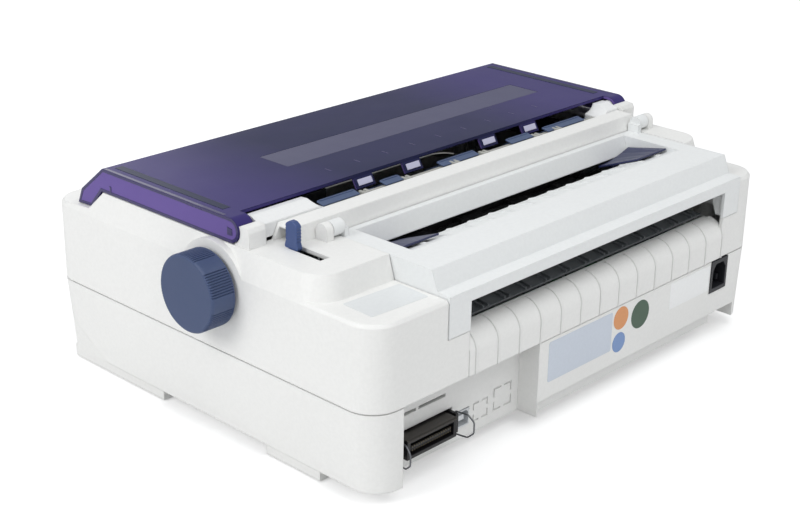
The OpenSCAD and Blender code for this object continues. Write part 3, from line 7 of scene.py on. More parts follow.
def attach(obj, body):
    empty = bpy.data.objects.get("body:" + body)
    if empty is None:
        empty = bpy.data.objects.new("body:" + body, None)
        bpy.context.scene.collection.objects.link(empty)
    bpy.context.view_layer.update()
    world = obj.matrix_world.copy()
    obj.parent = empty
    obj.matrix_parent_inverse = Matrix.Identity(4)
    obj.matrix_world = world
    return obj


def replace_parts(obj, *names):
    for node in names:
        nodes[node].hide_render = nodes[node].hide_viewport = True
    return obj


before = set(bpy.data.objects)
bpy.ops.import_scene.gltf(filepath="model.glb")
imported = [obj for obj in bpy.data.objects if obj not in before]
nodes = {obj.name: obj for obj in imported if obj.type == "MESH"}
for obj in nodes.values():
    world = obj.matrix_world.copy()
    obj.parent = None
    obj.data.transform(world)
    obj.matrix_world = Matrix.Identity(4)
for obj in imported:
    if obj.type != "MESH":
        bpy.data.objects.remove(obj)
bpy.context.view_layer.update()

scene = bpy.context.scene
mm = 0.001
shiftX, shiftY = -10.0, -155.025   # mm, from the middle of the case's front wall to the origin
print("frame loaded,", len(nodes), "nodes")


def place(x, y, z):
    # mm from the middle of the case's front wall, turned into metres of the frame
    return Vector(((x + shiftX) * mm, (y + shiftY) * mm, z * mm))


# camera, at the photograph's viewpoint: place in mm, angles in degrees, lens in pixels
cameraSetup = {
    "at": (729.5, 821.6, 459.6), "yaw": 226.732, "pitch": 22.278, "roll": 0.9255,
    "focalPx": 1533.22, "photoWidth": 800, "sensorWidth": 36.0, "clip": (0.02, 60),
}


def makeCamera(setup):
    yaw, pitch, roll = (math.radians(setup[k]) for k in ("yaw", "pitch", "roll"))
    level = math.cos(pitch)
    ahead = Vector((level * math.sin(yaw), level * math.cos(yaw), -math.sin(pitch)))
    right = ahead.cross(Vector((0, 0, 1))).normalized()
    up = right.cross(ahead)
    tiltRight = right * math.cos(roll) + up * math.sin(roll)
    tiltUp = up * math.cos(roll) - right * math.sin(roll)
    data = bpy.data.cameras.new("photoCamera")
    data.sensor_width = setup["sensorWidth"]
    data.lens = setup["focalPx"] / setup["photoWidth"] * setup["sensorWidth"]
    data.clip_start, data.clip_end = setup["clip"]
    cam = bpy.data.objects.new("photoCamera", data)
    scene.collection.objects.link(cam)
    at = place(*setup["at"])
    cam.matrix_world = Matrix((
        (tiltRight.x, tiltUp.x, -ahead.x, at.x),
        (tiltRight.y, tiltUp.y, -ahead.y, at.y),
        (tiltRight.z, tiltUp.z, -ahead.z, at.z),
        (0, 0, 0, 1),
    ))
    scene.camera = cam


makeCamera(cameraSetup)
print("camera placed")

# studio: floor, world and lamps
studio = {
    "floorHalf": 14.0, "floorDrop": 0.0004, "floorTone": 0.86, "floorLift": 0.36,
    "worldTone": (0.97, 0.985, 1.0), "worldLight": 0.54, "backTone": (1, 1, 1), "backLight": 1.0,
    "lamps": [
        # name, place in metres, aims at, size, watts
        ("keySide", (1.9, -0.2, 1.35), (0.1, 0.0, 0.1), 1.3, 18),
        ("topSoft", (0.1, 0.9, 1.75), (0.0, 0.0, 0.1), 1.5, 12),
        ("rearFill", (0.3, 2.2, 0.9), (0.0, 0.0, 0.1), 1.5, 0.5),
        ("frontFill", (-0.6, -2.0, 1.0), (0.0, 0.0, 0.1), 1.4, 6),
    ],
}


def emptyTree(owner):
    owner.use_nodes = True
    owner.node_tree.nodes.clear()
    return owner.node_tree


def makeFloor(setup):
    # pale paper that lifts itself a little for the camera alone, and so keeps the shadow
    half = setup["floorHalf"]
    square = [(-half, -half, 0), (half, -half, 0), (half, half, 0), (-half, half, 0)]
    mesh = bpy.data.meshes.new("floor")
    mesh.from_pydata(square, [], [(0, 1, 2, 3)])
    floor = bpy.data.objects.new("floor", mesh)
    scene.collection.objects.link(floor)
    floor.location.z = -setup["floorDrop"]
    mat = bpy.data.materials.new("floorPaper")
    tree = emptyTree(mat)
    out = tree.nodes.new("ShaderNodeOutputMaterial")
    add = tree.nodes.new("ShaderNodeAddShader")
    diffuse = tree.nodes.new("ShaderNodeBsdfDiffuse")
    lift = tree.nodes.new("ShaderNodeEmission")
    path = tree.nodes.new("ShaderNodeLightPath")
    share = tree.nodes.new("ShaderNodeMath")
    share.operation = "MULTIPLY"
    share.inputs[1].default_value = setup["floorLift"]
    diffuse.inputs[0].default_value = (setup["floorTone"],) * 3 + (1,)
    tree.links.new(path.outputs["Is Camera Ray"], share.inputs[0])
    tree.links.new(share.outputs[0], lift.inputs["Strength"])
    tree.links.new(diffuse.outputs[0], add.inputs[0])
    tree.links.new(lift.outputs[0], add.inputs[1])
    tree.links.new(add.outputs[0], out.inputs[0])
    mesh.materials.append(mat)


def makeWorld(setup):
    # white where the camera looks past the floor, soft daylight for the object
    world = bpy.data.worlds.new("studio")
    scene.world = world
    tree = emptyTree(world)
    out = tree.nodes.new("ShaderNodeOutputWorld")
    mix = tree.nodes.new("ShaderNodeMixShader")
    path = tree.nodes.new("ShaderNodeLightPath")
    tree.links.new(path.outputs["Is Camera Ray"], mix.inputs[0])
    for slot, kind in ((1, "world"), (2, "back")):
        light = tree.nodes.new("ShaderNodeBackground")
        light.inputs[0].default_value = setup[kind + "Tone"] + (1,)
        light.inputs[1].default_value = setup[kind + "Light"]
        tree.links.new(light.outputs[0], mix.inputs[slot])
    tree.links.new(mix.outputs[0], out.inputs[0])


def makeLamps(setup):
    for name, at, aim, size, watts in setup["lamps"]:
        data = bpy.data.lights.new(name, "AREA")
        data.shape = "DISK"
        data.size = size
        data.energy = watts
        lamp = bpy.data.objects.new(name, data)
        lamp.location = at
        lamp.rotation_euler = (Vector(aim) - Vector(at)).to_track_quat("-Z", "Y").to_euler()
        scene.collection.objects.link(lamp)


makeFloor(studio)
makeWorld(studio)
makeLamps(studio)
scene.view_settings.view_transform = "Standard"
print("studio lit")


# node makers shared by the materials
def startMaterial(name):
    mat = bpy.data.materials.new(name)
    tree = emptyTree(mat)
    out = tree.nodes.new("ShaderNodeOutputMaterial")
    shader = tree.nodes.new("ShaderNodeBsdfPrincipled")
    tree.links.new(shader.outputs[0], out.inputs[0])
    coords = tree.nodes.new("ShaderNodeTexCoord")
    return mat, tree, shader, coords.outputs["Object"]


def noise(tree, coords, scale, detail, stretch=None):
    if stretch:
        mapping = tree.nodes.new("ShaderNodeMapping")
        mapping.inputs["Scale"].default_value = stretch
        tree.links.new(coords, mapping.inputs[0])
        coords = mapping.outputs[0]
    tex = tree.nodes.new("ShaderNodeTexNoise")
    tex.inputs["Scale"].default_value = scale
    tex.inputs["Detail"].default_value = detail
    tree.links.new(coords, tex.inputs["Vector"])
    return tex.outputs["Fac"]


def ramp(tree, fac, stops):
    node = tree.nodes.new("ShaderNodeValToRGB")
    for element, (at, tone) in zip(node.color_ramp.elements, stops):
        element.position = at
        element.color = tuple(tone) + (1,)
    tree.links.new(fac, node.inputs[0])
    return node.outputs[0]


def mask(tree, fac, start, end, height=1.0):
    # black up to start, then up to the given height at end
    return ramp(tree, fac, [(start, (0, 0, 0)), (end, (height,) * 3)])


def shade(tone, k):
    return tuple(min(1.0, c * k) for c in tone)


def drift(tree, fac, tone, amount):
    # the same tone, a little darker and a little lighter by turns
    return ramp(tree, fac, [(0.3, shade(tone, 1 - amount)), (0.7, shade(tone, 1 + amount))])


def mixTone(tree, fac, a, b, blend="MIX"):
    node = tree.nodes.new("ShaderNodeMix")
    node.data_type = "RGBA"
    node.blend_type = blend
    for slot, value in ((0, fac), (6, a), (7, b)):
        if hasattr(value, "is_linked"):
            tree.links.new(value, node.inputs[slot])
        elif slot == 0:
            node.inputs[0].default_value = value
        else:
            node.inputs[slot].default_value = tuple(value) + (1,)
    return node.outputs[2]


def mapRange(tree, value, start, end, low=0.0, high=1.0):
    node = tree.nodes.new("ShaderNodeMapRange")
    for slot, number in enumerate((start, end, low, high), 1):
        node.inputs[slot].default_value = number
    tree.links.new(value, node.inputs[0])
    return node.outputs[0]


def sizeAcross(tree, vector):
    # how far a vector reaches across the machine, to either side
    split = tree.nodes.new("ShaderNodeSeparateXYZ")
    size = tree.nodes.new("ShaderNodeMath")
    size.operation = "ABSOLUTE"
    tree.links.new(vector, split.inputs[0])
    tree.links.new(split.outputs[0], size.inputs[0])
    return size.outputs[0]


# corners: how the rounded normal is sampled, and the lean from the flat one that counts as one
corners = {"samples": 4, "flat": 0.995, "full": 0.90}


def roundedNormal(tree, radius):
    bevel = tree.nodes.new("ShaderNodeBevel")
    bevel.samples = corners["samples"]
    bevel.inputs["Radius"].default_value = radius
    return bevel.outputs[0]


def edgeMask(tree, rounded):
    # how far the rounded normal leans from the flat one: high along the corners only
    geo = tree.nodes.new("ShaderNodeNewGeometry")
    dot = tree.nodes.new("ShaderNodeVectorMath")
    dot.operation = "DOT_PRODUCT"
    tree.links.new(rounded, dot.inputs[0])
    tree.links.new(geo.outputs["Normal"], dot.inputs[1])
    return mapRange(tree, dot.outputs["Value"], corners["flat"], corners["full"])


def bumpChain(tree, shader, rounded, layers):
    # layers of height, strength and depth in metres, laid over the rounded normal
    last = rounded
    for height, strength, depth in layers:
        bump = tree.nodes.new("ShaderNodeBump")
        bump.inputs["Strength"].default_value = strength
        bump.inputs["Distance"].default_value = depth
        tree.links.new(height, bump.inputs["Height"])
        tree.links.new(last, bump.inputs["Normal"])
        last = bump.outputs[0]
    tree.links.new(last, shader.inputs["Normal"])


def dressShader(tree, shader, rounded, body, edgeTone, glossFac=None, gloss=None):
    # the body colour with its worn corners, and a roughness that follows a pattern
    edge = mixTone(tree, edgeMask(tree, rounded), body, edgeTone)
    tree.links.new(edge, shader.inputs["Base Color"])
    if gloss:
        roughness = mapRange(tree, glossFac, 0.0, 1.0, gloss[0], gloss[1])
        tree.links.new(roughness, shader.inputs["Roughness"])


# moulded plastic: spark-eroded grain, slow colour drift, paler rubbed edges
plasticRecipe = {
    "driftScale": 9, "fineScale": 420, "fineTone": 0.975, "spotScale": 26, "spotTone": 0.72,
    "glossScale": 60, "glossSpread": (-0.06, 0.08),
    "grainScale": 1500, "grainDepth": 0.00012,
    "waveScale": 14, "waveStrength": 0.10, "waveDepth": 0.0008,
}


def mouldedPlastic(name, tone, rough, grain, mottle, wear, soften=0.0006, grime=0.0, coat=0.0):
    recipe = plasticRecipe
    mat, tree, shader, coords = startMaterial(name)
    rounded = roundedNormal(tree, soften)
    slow = drift(tree, noise(tree, coords, recipe["driftScale"], 4), tone, mottle)
    fine = ramp(tree, noise(tree, coords, recipe["fineScale"], 2),
                [(0.35, (recipe["fineTone"],) * 3), (0.65, (1, 1, 1))])
    body = mixTone(tree, 1.0, slow, fine, "MULTIPLY")
    if grime:
        spots = mask(tree, noise(tree, coords, recipe["spotScale"], 6), 0.60, 0.78, grime)
        body = mixTone(tree, spots, body, shade(tone, recipe["spotTone"]))
    dressShader(tree, shader, rounded, body, shade(tone, 1 + wear),
                noise(tree, coords, recipe["glossScale"], 3),
                [rough + spread for spread in recipe["glossSpread"]])
    shader.inputs["Coat Weight"].default_value = coat
    bumpChain(tree, shader, rounded, [
        (noise(tree, coords, recipe["grainScale"], 2), grain, recipe["grainDepth"]),
        (noise(tree, coords, recipe["waveScale"], 2), recipe["waveStrength"], recipe["waveDepth"]),
    ])
    return mat


# smoked clear plastic: slate top, violet where its end walls let light through, flow marks
tintRecipe = {
    "soften": 0.0007, "rough": 0.24, "glossSpread": 0.12, "glossScale": 34, "shine": 0.08,
    "flowScale": 5, "flowStretch": (1.0, 3.2, 3.2), "flowStrength": 0.03, "flowDepth": 0.0016,
    "nearFrom": 0.07, "nearTo": 0.15,   # metres from the middle towards either end
    "endFrom": 0.86, "endTo": 0.97, "glowScale": 7, "glowTone": 0.86, "edgeTone": 0.6,
    "fineScale": 700, "fineStrength": 0.05, "fineDepth": 0.0001,
}


def tintedPlastic(name, tone, deep, side, near, clear):
    recipe = tintRecipe
    mat, tree, shader, coords = startMaterial(name)
    rounded = roundedNormal(tree, recipe["soften"])
    flow = noise(tree, coords, recipe["flowScale"], 4, recipe["flowStretch"])
    body = ramp(tree, flow, [(0.25, deep), (0.75, tone)])
    zone = mapRange(tree, sizeAcross(tree, coords), recipe["nearFrom"], recipe["nearTo"])
    body = mixTone(tree, zone, body, near)
    facing = tree.nodes.new("ShaderNodeTexCoord").outputs["Normal"]
    ends = mask(tree, sizeAcross(tree, facing), recipe["endFrom"], recipe["endTo"])
    glow = ramp(tree, noise(tree, coords, recipe["glowScale"], 3),
                [(0.3, shade(side, recipe["glowTone"])), (0.7, side)])
    body = mixTone(tree, ends, body, glow)
    dressShader(tree, shader, rounded, body, shade(deep, recipe["edgeTone"]),
                noise(tree, coords, recipe["glossScale"], 5),
                [recipe["rough"], recipe["rough"] + recipe["glossSpread"]])
    shader.inputs["Specular IOR Level"].default_value = recipe["shine"]
    shader.inputs["Alpha"].default_value = 1 - clear
    bumpChain(tree, shader, rounded, [
        (flow, recipe["flowStrength"], recipe["flowDepth"]),
        (noise(tree, coords, recipe["fineScale"], 2), recipe["fineStrength"], recipe["fineDepth"]),
    ])
    return mat


# plated or ground steel: brushed lines, faint blotches, bright edges
steelRecipe = {
    "soften": 0.0003, "lineScale": 30, "lineTone": 0.90, "blotchScale": 22,
    "glossSpread": (-0.08, 0.12), "lineStrength": 0.12, "lineDepth": 0.0002,
}


def sheetSteel(name, tone, rough, grainStretch, wear=0.2, metallic=1.0, spangle=0.10):
    recipe = steelRecipe
    mat, tree, shader, coords = startMaterial(name)
    rounded = roundedNormal(tree, recipe["soften"])
    lines = noise(tree, coords, recipe["lineScale"], 4, grainStretch)
    blotch = drift(tree, noise(tree, coords, recipe["blotchScale"], 5), tone, spangle)
    brushed = ramp(tree, lines, [(0.3, (recipe["lineTone"],) * 3), (0.7, (1, 1, 1))])
    body = mixTone(tree, 1.0, blotch, brushed, "MULTIPLY")
    shader.inputs["Metallic"].default_value = metallic
    dressShader(tree, shader, rounded, body, shade(tone, 1 + wear), lines,
                [rough + spread for spread in recipe["glossSpread"]])
    bumpChain(tree, shader, rounded, [(lines, recipe["lineStrength"], recipe["lineDepth"])])
    return mat


# soft rubber: dull, powdered with pale dust, lighter along its rubbed corners
rubberRecipe = {
    "soften": 0.0003, "bodyScale": 40, "bodyTones": (0.8, 1.35), "dustScale": 160, "dust": 0.12,
    "dustTone": (0.45, 0.45, 0.44), "edgeTone": 2.0, "gloss": (0.62, 0.84), "glossScale": 80,
    "grainScale": 900, "grainStrength": 0.3, "grainDepth": 0.0002,
}


def softRubber(name, tone):
    recipe = rubberRecipe
    mat, tree, shader, coords = startMaterial(name)
    rounded = roundedNormal(tree, recipe["soften"])
    dark, pale = (shade(tone, k) for k in recipe["bodyTones"])
    body = ramp(tree, noise(tree, coords, recipe["bodyScale"], 5), [(0.3, dark), (0.75, pale)])
    powder = mask(tree, noise(tree, coords, recipe["dustScale"], 3), 0.5, 0.8, recipe["dust"])
    body = mixTone(tree, powder, body, recipe["dustTone"])
    dressShader(tree, shader, rounded, body, shade(tone, recipe["edgeTone"]),
                noise(tree, coords, recipe["glossScale"], 3), recipe["gloss"])
    grain = noise(tree, coords, recipe["grainScale"], 3)
    bumpChain(tree, shader, rounded, [(grain, recipe["grainStrength"], recipe["grainDepth"])])
    return mat


# circuit board: lacquer over paler copper runs, bare laminate along the cut edges
boardRecipe = {
    "soften": 0.0002, "runScale": 90, "runWidth": 0.03, "runTones": (1.0, 1.25, 1.7),
    "patchScale": 30, "patchHeight": 0.6, "patchTone": 0.8, "edgeTone": (0.55, 0.52, 0.34),
    "rough": 0.4, "runStrength": 0.2, "runDepth": 0.0001,
}


def circuitBoard(name, tone):
    recipe = boardRecipe
    mat, tree, shader, coords = startMaterial(name)
    rounded = roundedNormal(tree, recipe["soften"])
    brick = tree.nodes.new("ShaderNodeTexBrick")
    brick.inputs["Scale"].default_value = recipe["runScale"]
    brick.inputs["Mortar Size"].default_value = recipe["runWidth"]
    for slot, k in zip(("Color1", "Color2", "Mortar"), recipe["runTones"]):
        brick.inputs[slot].default_value = shade(tone, k) + (1,)
    tree.links.new(coords, brick.inputs["Vector"])
    patchy = noise(tree, coords, recipe["patchScale"], 4)
    patches = mask(tree, patchy, 0.4, 0.6, recipe["patchHeight"])
    body = mixTone(tree, patches, brick.outputs[0], shade(tone, recipe["patchTone"]))
    dressShader(tree, shader, rounded, body, recipe["edgeTone"])
    shader.inputs["Roughness"].default_value = recipe["rough"]
    runs = brick.outputs["Fac"]
    bumpChain(tree, shader, rounded, [(runs, recipe["runStrength"], recipe["runDepth"])])
    return mat


def srgb(r, g, b):
    # a colour as it reads on screen, turned into shader values
    tones = (c / 255 for c in (r, g, b))
    return tuple(c / 12.92 if c <= 0.04045 else ((c + 0.055) / 1.055) ** 2.4 for c in tones)


plastics = [
    # name, colour on screen, roughness, grain, mottle, edge wear, other values
    ("caseWhite", (238, 238, 236), 0.46, 0.30, 0.012, 0.06, {"soften": 0.0011}),
    ("guideWhite", (235, 237, 237), 0.42, 0.22, 0.012, 0.06, {"soften": 0.0009}),
    ("coverWhite", (238, 239, 239), 0.40, 0.20, 0.012, 0.05, {"soften": 0.0012}),
    ("lidRimDark", (46, 38, 92), 0.28, 0.05, 0.06, 0.3, {"coat": 0.2}),
    ("lavenderTab", (196, 196, 220), 0.35, 0.10, 0.03, 0.1, {}),
    ("leverBlue", (62, 82, 132), 0.42, 0.30, 0.05, 0.35, {"soften": 0.0004}),
    ("portBlack", (24, 23, 26), 0.35, 0.20, 0.08, 0.8, {}),
    ("frostedStrip", (78, 78, 106), 0.50, 0.35, 0.03, 0.12, {}),
    ("knobBlue", (60, 75, 110), 0.48, 0.30, 0.04, 0.35, {"soften": 0.0007}),
    ("padBlue", (76, 92, 124), 0.45, 0.25, 0.05, 0.3, {}),
    ("navyPlastic", (40, 46, 84), 0.38, 0.22, 0.06, 0.5, {}),
    ("greyStrip", (176, 176, 170), 0.45, 0.30, 0.05, 0.1, {}),
    ("blackPlastic", (34, 35, 40), 0.42, 0.30, 0.08, 0.9, {"grime": 0.3}),
    ("charcoalChute", (92, 96, 99), 0.50, 0.30, 0.08, 0.5, {"grime": 0.3}),
    ("panelGrey", (96, 100, 112), 0.40, 0.20, 0.03, 0.25, {}),
    ("buttonPale", (206, 206, 202), 0.40, 0.20, 0.02, 0.08, {}),
    ("naturalNylon", (226, 222, 206), 0.38, 0.15, 0.03, 0.06, {"grime": 0.2}),
]

stickerPaper = {"rough": 0.36, "grain": 0.08, "mottle": 0.02, "wear": 0.05,
                "soften": 0.0002, "coat": 0.2}
stickerTones = {
    "stickerPaleBlue": (206, 214, 226), "stickerWhite": (246, 247, 247),
    "stickerOrange": (222, 150, 92), "stickerGreen": (52, 84, 62),
    "stickerBlue": (120, 150, 200), "stickerClear": (224, 227, 228),
}

tints = [
    # name, top, its deeper streaks, end walls, top near the ends, share of light let through
    ("smokedLid", (48, 48, 88), (36, 40, 72), (116, 98, 166), (62, 54, 112), 0.06),
    ("lidSlate", (40, 46, 72), (34, 40, 64), (40, 46, 72), (40, 46, 72), 0.0),
]

steels = [
    # name, shader colour, roughness, stretch of the grain, other values
    ("tinPlate", (0.74, 0.76, 0.78), 0.36, (3, 3, 3), {"metallic": 0.35, "spangle": 0.06}),
    ("bronzeShell", (0.05, 0.045, 0.04), 0.36, (1, 30, 30), {"metallic": 0.5, "wear": 1.2}),
    ("contactBrass", (0.15, 0.13, 0.09), 0.30, (30, 2, 2), {"wear": 0.6}),
    ("zincSheet", (0.52, 0.54, 0.56), 0.40, (4, 4, 4), {"spangle": 0.16}),
    ("groundShaft", (0.62, 0.63, 0.65), 0.22, (60, 2, 2), {"spangle": 0.05}),
    ("darkMetal", (0.10, 0.105, 0.115), 0.45, (3, 3, 3), {"metallic": 0.6, "wear": 1.2}),
    ("springWire", (0.16, 0.165, 0.18), 0.35, (2, 50, 2), {"wear": 0.8}),
]

finishes = {
    "blackRubber": softRubber("blackRubber", srgb(38, 38, 40)),
    "greenBoard": circuitBoard("greenBoard", srgb(34, 96, 58)),
}
for name, tone, rough, grain, mottle, wear, more in plastics:
    finishes[name] = mouldedPlastic(name, srgb(*tone), rough, grain, mottle, wear, **more)
for name, tone in stickerTones.items():
    finishes[name] = mouldedPlastic(name, srgb(*tone), **stickerPaper)
for name, *tones, clear in tints:
    finishes[name] = tintedPlastic(name, *(srgb(*tone) for tone in tones), clear)
for name, tone, rough, stretch, more in steels:
    finishes[name] = sheetSteel(name, tone, rough, stretch, **more)

nodeFinish = {
    "caseWhite": ["lower_case", "upper_case"],
    "guideWhite": ["rear_paper_guide"],
    "coverWhite": ["end_housings"],
    "smokedLid": ["lid"],
    "frostedStrip": ["lid_strip"],
    "knobBlue": ["platen_knob", "ribbon_knob"],
    "padBlue": ["deflector_pads"],
    "navyPlastic": ["edge_guide_right", "edge_guide_left", "release_lever"],
    "greyStrip": ["exit_guide"],
    "blackPlastic": [
        "power_switch_body", "power_rocker", "power_inlet", "platen_bushes", "carriage",
        "ribbon_cartridge", "ribbon", "tractor_right", "tractor_left", "flap_right", "flap_left",
    ],
    "portBlack": ["parallel_connector"],
    "tinPlate": ["usb_socket"],
    "charcoalChute": ["rear_chute"],
    "panelGrey": ["control_panel"],
    "buttonPale": ["pause_button", "feed_button", "load_button", "tear_button"],
    "naturalNylon": [
        "platen_gear", "idler_gear", "tractor_gear", "idler_pulley",
        "pin_wheel_right", "pin_wheel_left",
    ],
    "zincSheet": ["base_frame", "side_frame_right", "side_frame_left", "case_screws"],
    "groundShaft": [
        "platen_shaft", "carriage_rod", "tractor_drive_shaft", "tractor_guide_shaft",
        "motor_pinion", "drive_pulley",
    ],
    "darkMetal": ["feed_motor", "carriage_motor", "print_head"],
    "springWire": ["bail_right", "bail_left"],
    "blackRubber": ["rubber_feet", "platen_sleeve", "pinch_rollers", "timing_belt"],
    "greenBoard": ["panel_board", "main_board", "power_supply"],
}


def dressNodes():
    left = set(nodes)
    for finish, names in nodeFinish.items():
        for name in names:
            obj = nodes[name]
            obj.data.materials.clear()
            obj.data.materials.append(finishes[finish])
            for face in obj.data.polygons:
                face.material_index = 0
            left.discard(name)
    print("nodes without a finish:", sorted(left))


dressNodes()


# mesh makers shared by the pieces; outlines are in mm
def meshPiece(name, bm, finish, body):
    mesh = bpy.data.meshes.new(name)
    bm.normal_update()
    bm.to_mesh(mesh)
    bm.free()
    obj = bpy.data.objects.new(name, mesh)
    scene.collection.objects.link(obj)
    mesh.materials.append(finish)
    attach(obj, body)
    return obj


def joinRings(bm, rings):
    # a wall of quads from each ring of vertices to the next
    for a, b in zip(rings, rings[1:]):
        for i in range(len(a)):
            j = (i + 1) % len(a)
            bm.faces.new((a[i], a[j], b[j], b[i]))


def capRings(bm, rings):
    bm.faces.new(list(reversed(rings[0])))
    bm.faces.new(rings[-1])


def arcPoints(centre, radius, degrees):
    u, v = centre
    turns = [math.radians(a) for a in degrees]
    return [(u + radius * math.cos(t), v + radius * math.sin(t)) for t in turns]


def roundedOutline(w, h, r, steps=6):
    points = []
    for sideU, sideV, start in ((1, 1, 0), (-1, 1, 90), (-1, -1, 180), (1, -1, 270)):
        centre = (sideU * (w / 2 - r), sideV * (h / 2 - r))
        points += arcPoints(centre, r, [start + 90 * i / steps for i in range(steps + 1)])
    return points


def insetLoop(points, d):
    # the same outline, moved inwards by d on every side (points run anticlockwise)
    out = []
    n = len(points)
    for i in range(n):
        a, b, c = Vector(points[i - 1]), Vector(points[i]), Vector(points[(i + 1) % n])
        e, f = (b - a).normalized(), (c - b).normalized()
        p, q = Vector((-e.y, e.x)), Vector((-f.y, f.x))
        m = (p + q) / max(0.2, 1 + p.dot(q))
        out.append(tuple(b + m * d))
    return out


def prism(name, outline, spans, finish, body, soften):
    # an outline of (y, z) points, drawn out over each span of x, with softened edges
    bm = bmesh.new()
    for span in spans:
        ends = [[bm.verts.new(place(x, y, z)) for y, z in outline] for x in span]
        joinRings(bm, ends)
        capRings(bm, ends)
    bmesh.ops.recalc_face_normals(bm, faces=bm.faces)
    bmesh.ops.bevel(bm, geom=list(bm.edges), offset=soften * mm, segments=2, profile=0.5,
                    affect="EDGES", clamp_overlap=True)
    return meshPiece(name, bm, finishes[finish], body)


def wirePiece(name, points, radius, finish, body, bend=1.2, sides=10):
    # a bent wire: corners rounded, then a ring carried along the path
    path = [Vector(points[0])]
    for a, b, c in zip(points, points[1:], points[2:]):
        a, b, c = Vector(a), Vector(b), Vector(c)
        p = b + (a - b).normalized() * min(bend, (a - b).length * 0.45)
        q = b + (c - b).normalized() * min(bend, (c - b).length * 0.45)
        for t in (0, 0.25, 0.5, 0.75, 1):
            path.append((1 - t) ** 2 * p + 2 * t * (1 - t) * b + t * t * q)
    path.append(Vector(points[-1]))
    turns = [2 * math.pi * k / sides for k in range(sides)]
    side = (path[1] - path[0]).normalized().orthogonal().normalized()
    last = len(path) - 1
    bm = bmesh.new()
    rings = []
    for i, at in enumerate(path):
        ahead = (path[min(i + 1, last)] - path[max(i - 1, 0)]).normalized()
        side = (side - ahead * side.dot(ahead)).normalized()
        up = ahead.cross(side)
        ring = [at + (side * math.cos(t) + up * math.sin(t)) * radius for t in turns]
        rings.append([bm.verts.new(place(*point)) for point in ring])
    joinRings(bm, rings)
    capRings(bm, rings)
    return meshPiece(name, bm, finishes[finish], body)


# stickers: plain paper on the rear wall and the shelf, with a slightly sloped rim
stickers = {
    "thick": 0.18, "rimInset": 0.12, "rimFrom": 0.6, "wallY": 300.0, "shelfZ": 115.0,
    "rear": [  # name, x, z, width, height, corner, finish
        ("ratingSticker", 6.4, 43.8, 66.0, 27.6, 1.5, "stickerPaleBlue"),
        ("smallSticker", -116.2, 48.4, 48.0, 19.0, 1.2, "stickerWhite"),
    ],
    "rounds": [  # name, x, z, radius, finish
        ("roundStickerA", -36.1, 50.6, 8.0, "stickerOrange"),
        ("roundStickerB", -57.9, 46.6, 10.0, "stickerGreen"),
        ("roundStickerC", -35.3, 33.4, 7.0, "stickerBlue"),
    ],
    "shelf": [  # name, x, y, width, depth, corner, finish
        ("shelfSticker", 159.4, 274.5, 43.6, 24.4, 1.2, "stickerClear"),
    ],
}


def layLabel(setup, name, centre, across, upward, outline, finish):
    across, upward = Vector(across).normalized(), Vector(upward).normalized()
    out = across.cross(upward)
    thick = setup["thick"]
    bm = bmesh.new()
    rings = []
    for inset, lift in ((0.0, 0.0), (0.0, thick * setup["rimFrom"]), (setup["rimInset"], thick)):
        ring = []
        for u, v in outline:
            far = math.hypot(u, v)
            k = (far - inset) / far
            offset = across * u * k + upward * v * k + out * lift
            ring.append(bm.verts.new(centre + offset * mm))
        rings.append(ring)
    joinRings(bm, rings)
    capRings(bm, rings)
    meshPiece(name, bm, finishes[finish], "base")


def makeStickers(setup):
    wall, across, upward = setup["wallY"], (-1, 0, 0), (0, 0, 1)
    for name, x, z, w, h, r, finish in setup["rear"]:
        outline = roundedOutline(w, h, r)
        layLabel(setup, name, place(x, wall, z), across, upward, outline, finish)
    for name, x, z, r, finish in setup["rounds"]:
        outline = arcPoints((0, 0), r, range(0, 360, 10))
        layLabel(setup, name, place(x, wall, z), across, upward, outline, finish)
    for name, x, y, w, h, r, finish in setup["shelf"]:
        outline = roundedOutline(w, h, r)
        centre = place(x, y, setup["shelfZ"])
        layLabel(setup, name, centre, (-1, 0.05, 0), (-0.05, -1, 0), outline, finish)


makeStickers(stickers)
print("stickers laid")

# lid: dark rims round both end walls, slate band on the top, small marks, pale edge tabs
lidTrim = {
    "endX": 190.1, "rimWidth": 1.9, "rimLift": 0.16, "topZ": 146.2,
    "pin": (177.1, 138.5), "pinR": 7.7,
    "wall": [(26.0, 117.0), (40.6, 117.8), (52.2, 130.8)], "crown": [(53.8, 146.2), (30.4, 127.4)],
    "spot": [(174.9, 135.2), (179.3, 135.6), (179.3, 139.6), (174.9, 140.2)], "spotLift": 0.3,
    "rib": [(61.0, 131.6), (62.6, 131.6), (62.6, 136.0), (61.0, 136.6)], "ribLift": 0.25,
    "sink": 0.2, "bandLift": 0.12, "bandSlope": 0.5,
    "bands": [  # name, finish, x from and to, y from and to
        ("lidBand", "lidSlate", (177.6, 183.6), (58.0, 164.0)),
        ("lidEdgeBand", "lidRimDark", (187.6, 190.0), (55.0, 172.0)),
    ],
    "tabs": (-88.8, -44.3, 31.7, 76.2), "tabHalf": 6.2,
    "tab": [(173.9, 142.9), (175.9, 139.3), (176.3, 139.5), (174.3, 143.1)],
    "ticks": 9, "tickFrom": 88.1, "tickPitch": 25.9, "tickWidth": 1.0,
    "tickY": (151.0, 157.5), "tickLift": 0.1, "tickSlope": 0.3,
}


def stripOutline(setup, ends, lift, slope):
    # a thin strip set into the lid's top, its two ends sloped
    y0, y1 = ends
    low, high = setup["topZ"] - setup["sink"], setup["topZ"] + lift
    return [(y0, low), (y1, low), (y1 - slope, high), (y0 + slope, high)]


